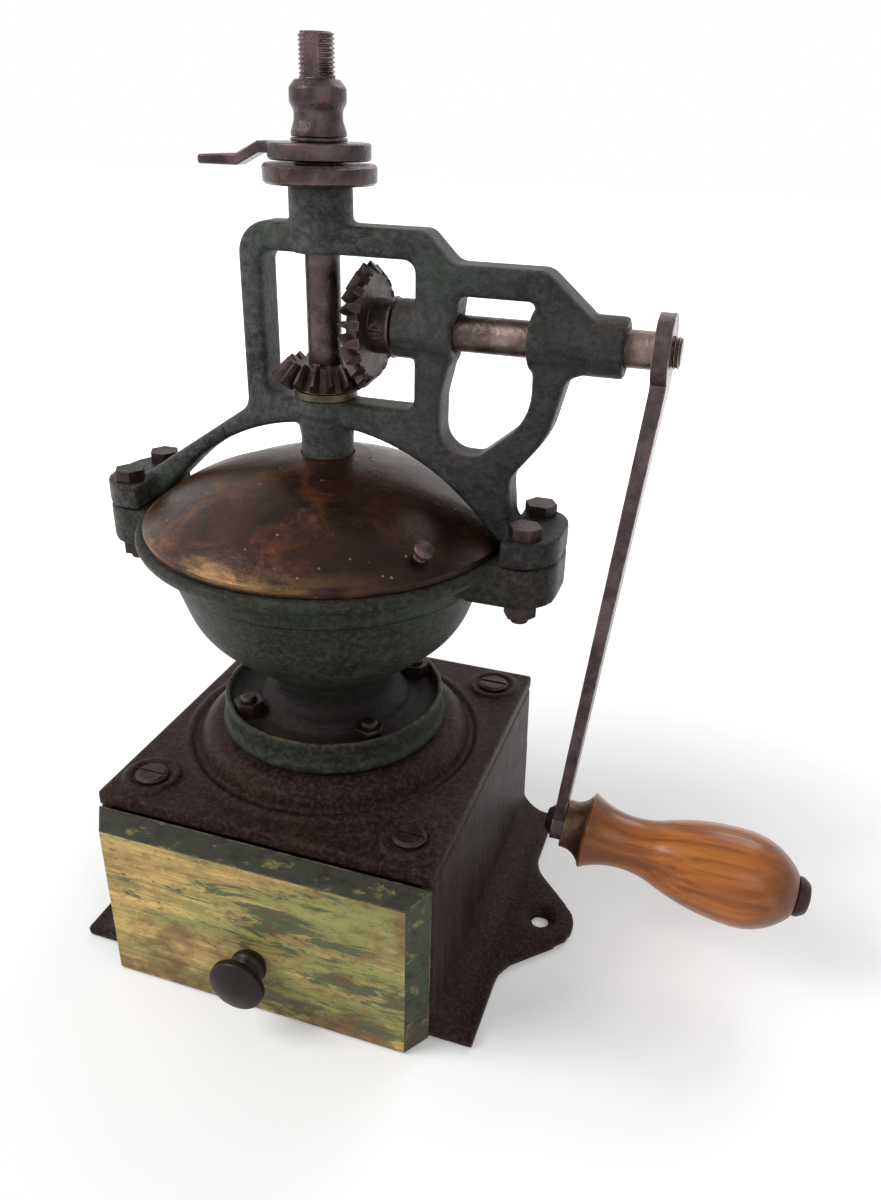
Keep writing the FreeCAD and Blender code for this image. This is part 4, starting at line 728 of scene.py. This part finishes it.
def cast(node, step, rounds, finish=None):
    """A node's shape as a rough casting: meshed evenly at one step, then relaxed until its edges are soft."""
    points, triangles = merged(node)
    mesh = bpy.data.meshes.new(node + "_rough")
    mesh.from_pydata(points, [], triangles)
    rough = bpy.data.objects.new(node + "_rough", mesh)
    bpy.context.scene.collection.objects.link(rough)
    remesh = rough.modifiers.new("even", "REMESH")
    remesh.mode = "VOXEL"
    remesh.voxel_size = step
    relax = rough.modifiers.new("relax", "SMOOTH")
    relax.factor = 0.5
    relax.iterations = rounds
    bpy.context.view_layer.update()
    soft = bpy.data.meshes.new_from_object(rough.evaluated_get(bpy.context.evaluated_depsgraph_get()))
    soft.name = node + "_cast"
    bpy.data.objects.remove(rough)
    bpy.data.meshes.remove(mesh)
    smooth(soft)
    finished(node + "_cast", soft, node, finish)


def grid_mesh(name, points):
    """Closed tube of quads from rings of points (rings, round, 3), with each end closed by one flat face."""
    rings, around, _ = points.shape
    index = np.arange(rings * around).reshape(rings, around)
    ahead = np.roll(index, -1, axis=1)
    quads = np.stack([index[:-1], ahead[:-1], ahead[1:], index[1:]], axis=-1).reshape(-1, 4)
    mesh = bpy.data.meshes.new(name)
    ends = [index[0, ::-1].tolist(), index[-1].tolist()]
    mesh.from_pydata(points.reshape(-1, 3), [], [*quads.tolist(), *ends])
    smooth_by_angle(mesh, THREAD_ANGLE)
    return mesh


def threaded_rod(shank, radius, low, start, high, pitch, flats=None, around=72, per_turn=8):
    """Rings of a rod about +Z: a plain shank from low to start, then a screw thread up to high.

    On the thread the radius falls in a rounded groove: radius - depth * (1 - cos(turn)) / 2, where turn is
    2 pi * height / pitch minus the angle round the axis. The groove fades in over one turn, and the end is
    chamfered by the depth. With flats, the radius stays below half the flats over the sine of the angle.
    """
    depth = sizes().thread_depth
    angle = np.linspace(0, 2 * np.pi, around, endpoint=False)[None, :]
    turns = np.linspace(start, high, int((high - start) / pitch * per_turn))[:, None]
    fade = np.clip((turns - start) / pitch, 0, 1)
    groove = depth * fade * (1 - np.cos(2 * np.pi * turns / pitch - angle)) / 2
    reach = radius - groove - np.clip(depth - (high - turns), 0, depth)
    if flats:
        least_sine = 0.01
        reach = np.minimum(reach, flats / 2 / np.maximum(np.abs(np.sin(angle)), least_sine))
    plain = np.array([low, low + END_ROUND, start - END_ROUND, start])[:, None]
    shank_reach = shank - np.array([END_ROUND, 0, 0, END_ROUND])[:, None] + 0 * angle
    reach = np.vstack([shank_reach, reach])
    height = np.broadcast_to(np.vstack([plain, turns]), reach.shape)
    return np.stack([reach * np.cos(angle), reach * np.sin(angle), height], axis=-1)


class MILL_OT_castings(bpy.types.Operator):
    """Base box, top plate, yoke and hopper as soft-edged castings"""
    bl_idname = "mill.castings"
    bl_label = "Castings"

    def execute(self, context):
        for node, (share, rounds, finish) in CASTINGS.items():
            cast(node, sizes().cast_step * share, rounds, finish)
        return {"FINISHED"}


class MILL_OT_lid(bpy.types.Operator):
    """Two half domes of thin sheet and the knob"""
    bl_idname = "mill.lid"
    bl_label = "Lid"

    def execute(self, context):
        dressed("lid_rear", THIN_EDGE)
        dressed("lid_front", THIN_EDGE)
        dressed("lid_knob", THIN_EDGE, "rusty_steel")
        return {"FINISHED"}


class MILL_OT_drawer(bpy.types.Operator):
    """Painted front board, plain boards behind it, turned knob and its screw"""
    bl_idname = "mill.drawer"
    bl_label = "Drawer"

    def execute(self, context):
        dressed("drawer_front", sizes().wood_edge)
        for node in ("drawer_left_side", "drawer_right_side", "drawer_back", "drawer_floor"):
            dressed(node, sizes().soft_edge)
        dressed("drawer_knob")
        dressed("knob_screw")
        return {"FINISHED"}


class MILL_OT_drive(bpy.types.Operator):
    """Crank shaft, gears, arm, spindle, adjusting lever and rings, with the two threaded ends"""
    bl_idname = "mill.drive"
    bl_label = "Drive"

    def execute(self, context):
        edge = sizes().soft_edge
        for node in ("crank_gear", "spindle_gear"):
            dressed(node, edge * GEAR_EDGE_SHARE, "gear_steel")
        for node in ("crank_washer", "crank_arm", "spindle_sleeve", "thrust_washer", "gear_key", "burr_cone",
                     "burr_ring"):
            dressed(node, edge)
        dressed("adjusting_lever", edge * LEVER_EDGE_SHARE)
        dressed("lock_ring", edge * LOCK_EDGE_SHARE)
        dressed("thrust_ring", edge, "green_brass")
        self.spindle()
        self.shaft()
        return {"FINISHED"}

    def spindle(self):
        """Upright spindle, threaded from the sleeve to its top and flat on two sides there."""
        low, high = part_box("main_spindle")
        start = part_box("spindle_sleeve")[1].z + SPINDLE_THREAD_START
        points = threaded_rod(high.x, high.x - SPINDLE_THREAD_FALL, low.z, start, high.z,
                              sizes().spindle_pitch, flats=SPINDLE_FLATS)
        mesh = grid_mesh("main_spindle_threaded", points)
        finished("main_spindle_threaded", mesh, "main_spindle", "rusty_steel")

    def shaft(self):
        """Level crank shaft, threaded from inside the arm to its end; the rod is turned from Z to X."""
        low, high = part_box("crank_shaft")
        radius = (high.z - low.z) / 2
        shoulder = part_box("crank_arm")[1].x - ARM_SEAT
        along = threaded_rod(radius, radius - CRANK_THREAD_FALL, low.x, shoulder, high.x, sizes().crank_pitch)
        points = np.stack([along[..., 2], along[..., 0], along[..., 1] + (low.z + high.z) / 2], axis=-1)
        mesh = grid_mesh("crank_shaft_threaded", points)
        finished("crank_shaft_threaded", mesh, "crank_shaft", "worn_shaft")


class MILL_OT_handle(bpy.types.Operator):
    """Varnished grip, its ferrule, the cap and the pin"""
    bl_idname = "mill.handle"
    bl_label = "Handle"

    def execute(self, context):
        dressed("grip", WOOD_TURNING_EDGE)
        dressed("grip_ferrule", WOOD_TURNING_EDGE)
        cast("handle_cap", CAP_STEP, CAP_ROUNDS, "cap_wood")
        dressed("grip_pin")
        return {"FINISHED"}


class MILL_OT_fasteners(bpy.types.Operator):
    """Screws, studs, nuts and bolts"""
    bl_idname = "mill.fasteners"
    bl_label = "Fasteners"

    def execute(self, context):
        for node in ("corner_screws", "hopper_studs", "hopper_nuts", "yoke_bolts", "yoke_nuts",
                     "gear_set_screw", "burr_nut"):
            dressed(node, sizes().soft_edge)
        return {"FINISHED"}


class MILL_OT_stage(bpy.types.Operator):
    """Pale floor, soft lamps and the photograph's camera"""
    bl_idname = "mill.stage"
    bl_label = "Stage"

    def execute(self, context):
        scene = context.scene
        scene.view_settings.view_transform = "Standard"
        self.floor(scene)
        self.world(scene)
        for name, (place, width, power) in LAMPS.items():
            self.lamp(scene, name, place, width, power)
        self.camera(scene)
        return {"FINISHED"}

    def floor(self, scene):
        """Pale floor that keeps the shadow near the mill and looks white further off."""
        look = Finish("pale_floor")
        cloud = look.mix(look.noise(3, 4), tuple(colours().floor), FLOOR_SHADE)
        look.set(Base_Color=cloud, Roughness=0.75, Specular_IOR_Level=0.2)
        glow = look.between(look.ramp(look.reach(), GLOW_START, GLOW_END), GLOW_NEAR, GLOW_FAR)
        look.set(Emission_Color=(1, 1, 1), Emission_Strength=look.both(glow, self.looked_at(look.tree)))
        edge = FLOOR_HALF
        mesh = bpy.data.meshes.new("floor")
        mesh.from_pydata([(-edge, -edge, 0), (edge, -edge, 0), (edge, edge, 0), (-edge, edge, 0)], [],
                         [(0, 1, 2, 3)])
        mesh.materials.append(look.material)
        floor = bpy.data.objects.new("floor", mesh)
        scene.collection.objects.link(floor)

    def looked_at(self, tree):
        """1 for rays that the camera, a mirror or a glass sends out, 0 for light that falls on the mill."""
        path = tree.nodes.new("ShaderNodeLightPath")
        seen = path.outputs["Is Camera Ray"]
        for other in ("Is Glossy Ray", "Is Transmission Ray"):
            either = tree.nodes.new("ShaderNodeMath")
            either.operation = "MAXIMUM"
            tree.links.new(seen, either.inputs[0])
            tree.links.new(path.outputs[other], either.inputs[1])
            seen = either.outputs["Value"]
        return seen

    def world(self, scene):
        """White where it is looked at, a plain grey level for the light itself."""
        world = bpy.data.worlds.new("studio")
        world.use_nodes = True
        scene.world = world
        tree = world.node_tree
        level = tree.nodes.new("ShaderNodeMapRange")
        level.inputs["To Min"].default_value = WORLD_LIGHT
        level.inputs["To Max"].default_value = 1.0
        tree.links.new(self.looked_at(tree), level.inputs["Value"])
        back = tree.nodes["Background"]
        back.inputs["Color"].default_value = (1, 1, 1, 1)
        tree.links.new(level.outputs["Result"], back.inputs["Strength"])

    def lamp(self, scene, name, place, width, power):
        """Square soft lamp that faces the mill."""
        lamp = bpy.data.lights.new(name, "AREA")
        lamp.size = width
        lamp.energy = power
        back = np.array(place) - np.array(LAMP_AIM)
        back /= np.linalg.norm(back)
        right = np.cross((0, 0, 1), back)
        right /= np.linalg.norm(right)
        item = bpy.data.objects.new(name, lamp)
        item.matrix_world = self.turned(place, right, np.cross(back, right), back)
        scene.collection.objects.link(item)

    def camera(self, scene):
        """Camera at the photograph's viewpoint."""
        camera = bpy.data.cameras.new("camera")
        camera.lens = CAMERA_LENS_MM
        camera.sensor_width = CAMERA_SENSOR_MM
        camera.clip_start = CAMERA_NEAR
        viewer = bpy.data.objects.new("camera", camera)
        back = np.cross(CAMERA_RIGHT, CAMERA_UP)
        viewer.matrix_world = self.turned(CAMERA_PLACE, CAMERA_RIGHT, CAMERA_UP, back)
        scene.collection.objects.link(viewer)
        scene.camera = viewer

    def turned(self, place, right, up, back):
        """Matrix of an object at a place, with its own X, Y and Z along right, up and back."""
        axes = np.column_stack([right, up, back])
        return Matrix.Translation(place) @ Matrix(axes.tolist()).to_4x4()


class MILL_PT_panel(bpy.types.Panel):
    """Lists the mill's pieces and their settings"""
    bl_idname = "MILL_PT_panel"
    bl_label = "Coffee mill"
    bl_space_type = "VIEW_3D"
    bl_region_type = "UI"
    bl_category = "Mill"

    def draw(self, context):
        for operator in OPERATORS:
            self.layout.operator(operator.bl_idname)
        for group in (context.scene.mill_colours, context.scene.mill_sizes):
            for key in group.bl_rna.properties.keys():
                if key not in ("rna_type", "name"):
                    self.layout.prop(group, key)


OPERATORS = (MILL_OT_castings, MILL_OT_lid, MILL_OT_drawer, MILL_OT_drive, MILL_OT_handle, MILL_OT_fasteners,
             MILL_OT_stage)
CLASSES = (MillColours, MillSizes, *OPERATORS, MILL_PT_panel)


def register():
    """Adds the classes and the scene's settings."""
    for item in CLASSES:
        bpy.utils.register_class(item)
    bpy.types.Scene.mill_colours = bpy.props.PointerProperty(type=MillColours)
    bpy.types.Scene.mill_sizes = bpy.props.PointerProperty(type=MillSizes)


def unregister():
    """Takes the settings and the classes away again."""
    del bpy.types.Scene.mill_sizes
    del bpy.types.Scene.mill_colours
    for item in reversed(CLASSES):
        bpy.utils.unregister_class(item)


def main():
    """Builds every group of pieces and the stage."""
    register()
    bpy.ops.mill.castings()
    bpy.ops.mill.lid()
    bpy.ops.mill.drawer()
    bpy.ops.mill.drive()
    bpy.ops.mill.handle()
    bpy.ops.mill.fasteners()
    bpy.ops.mill.stage()


if __name__ == "__main__":
    main()
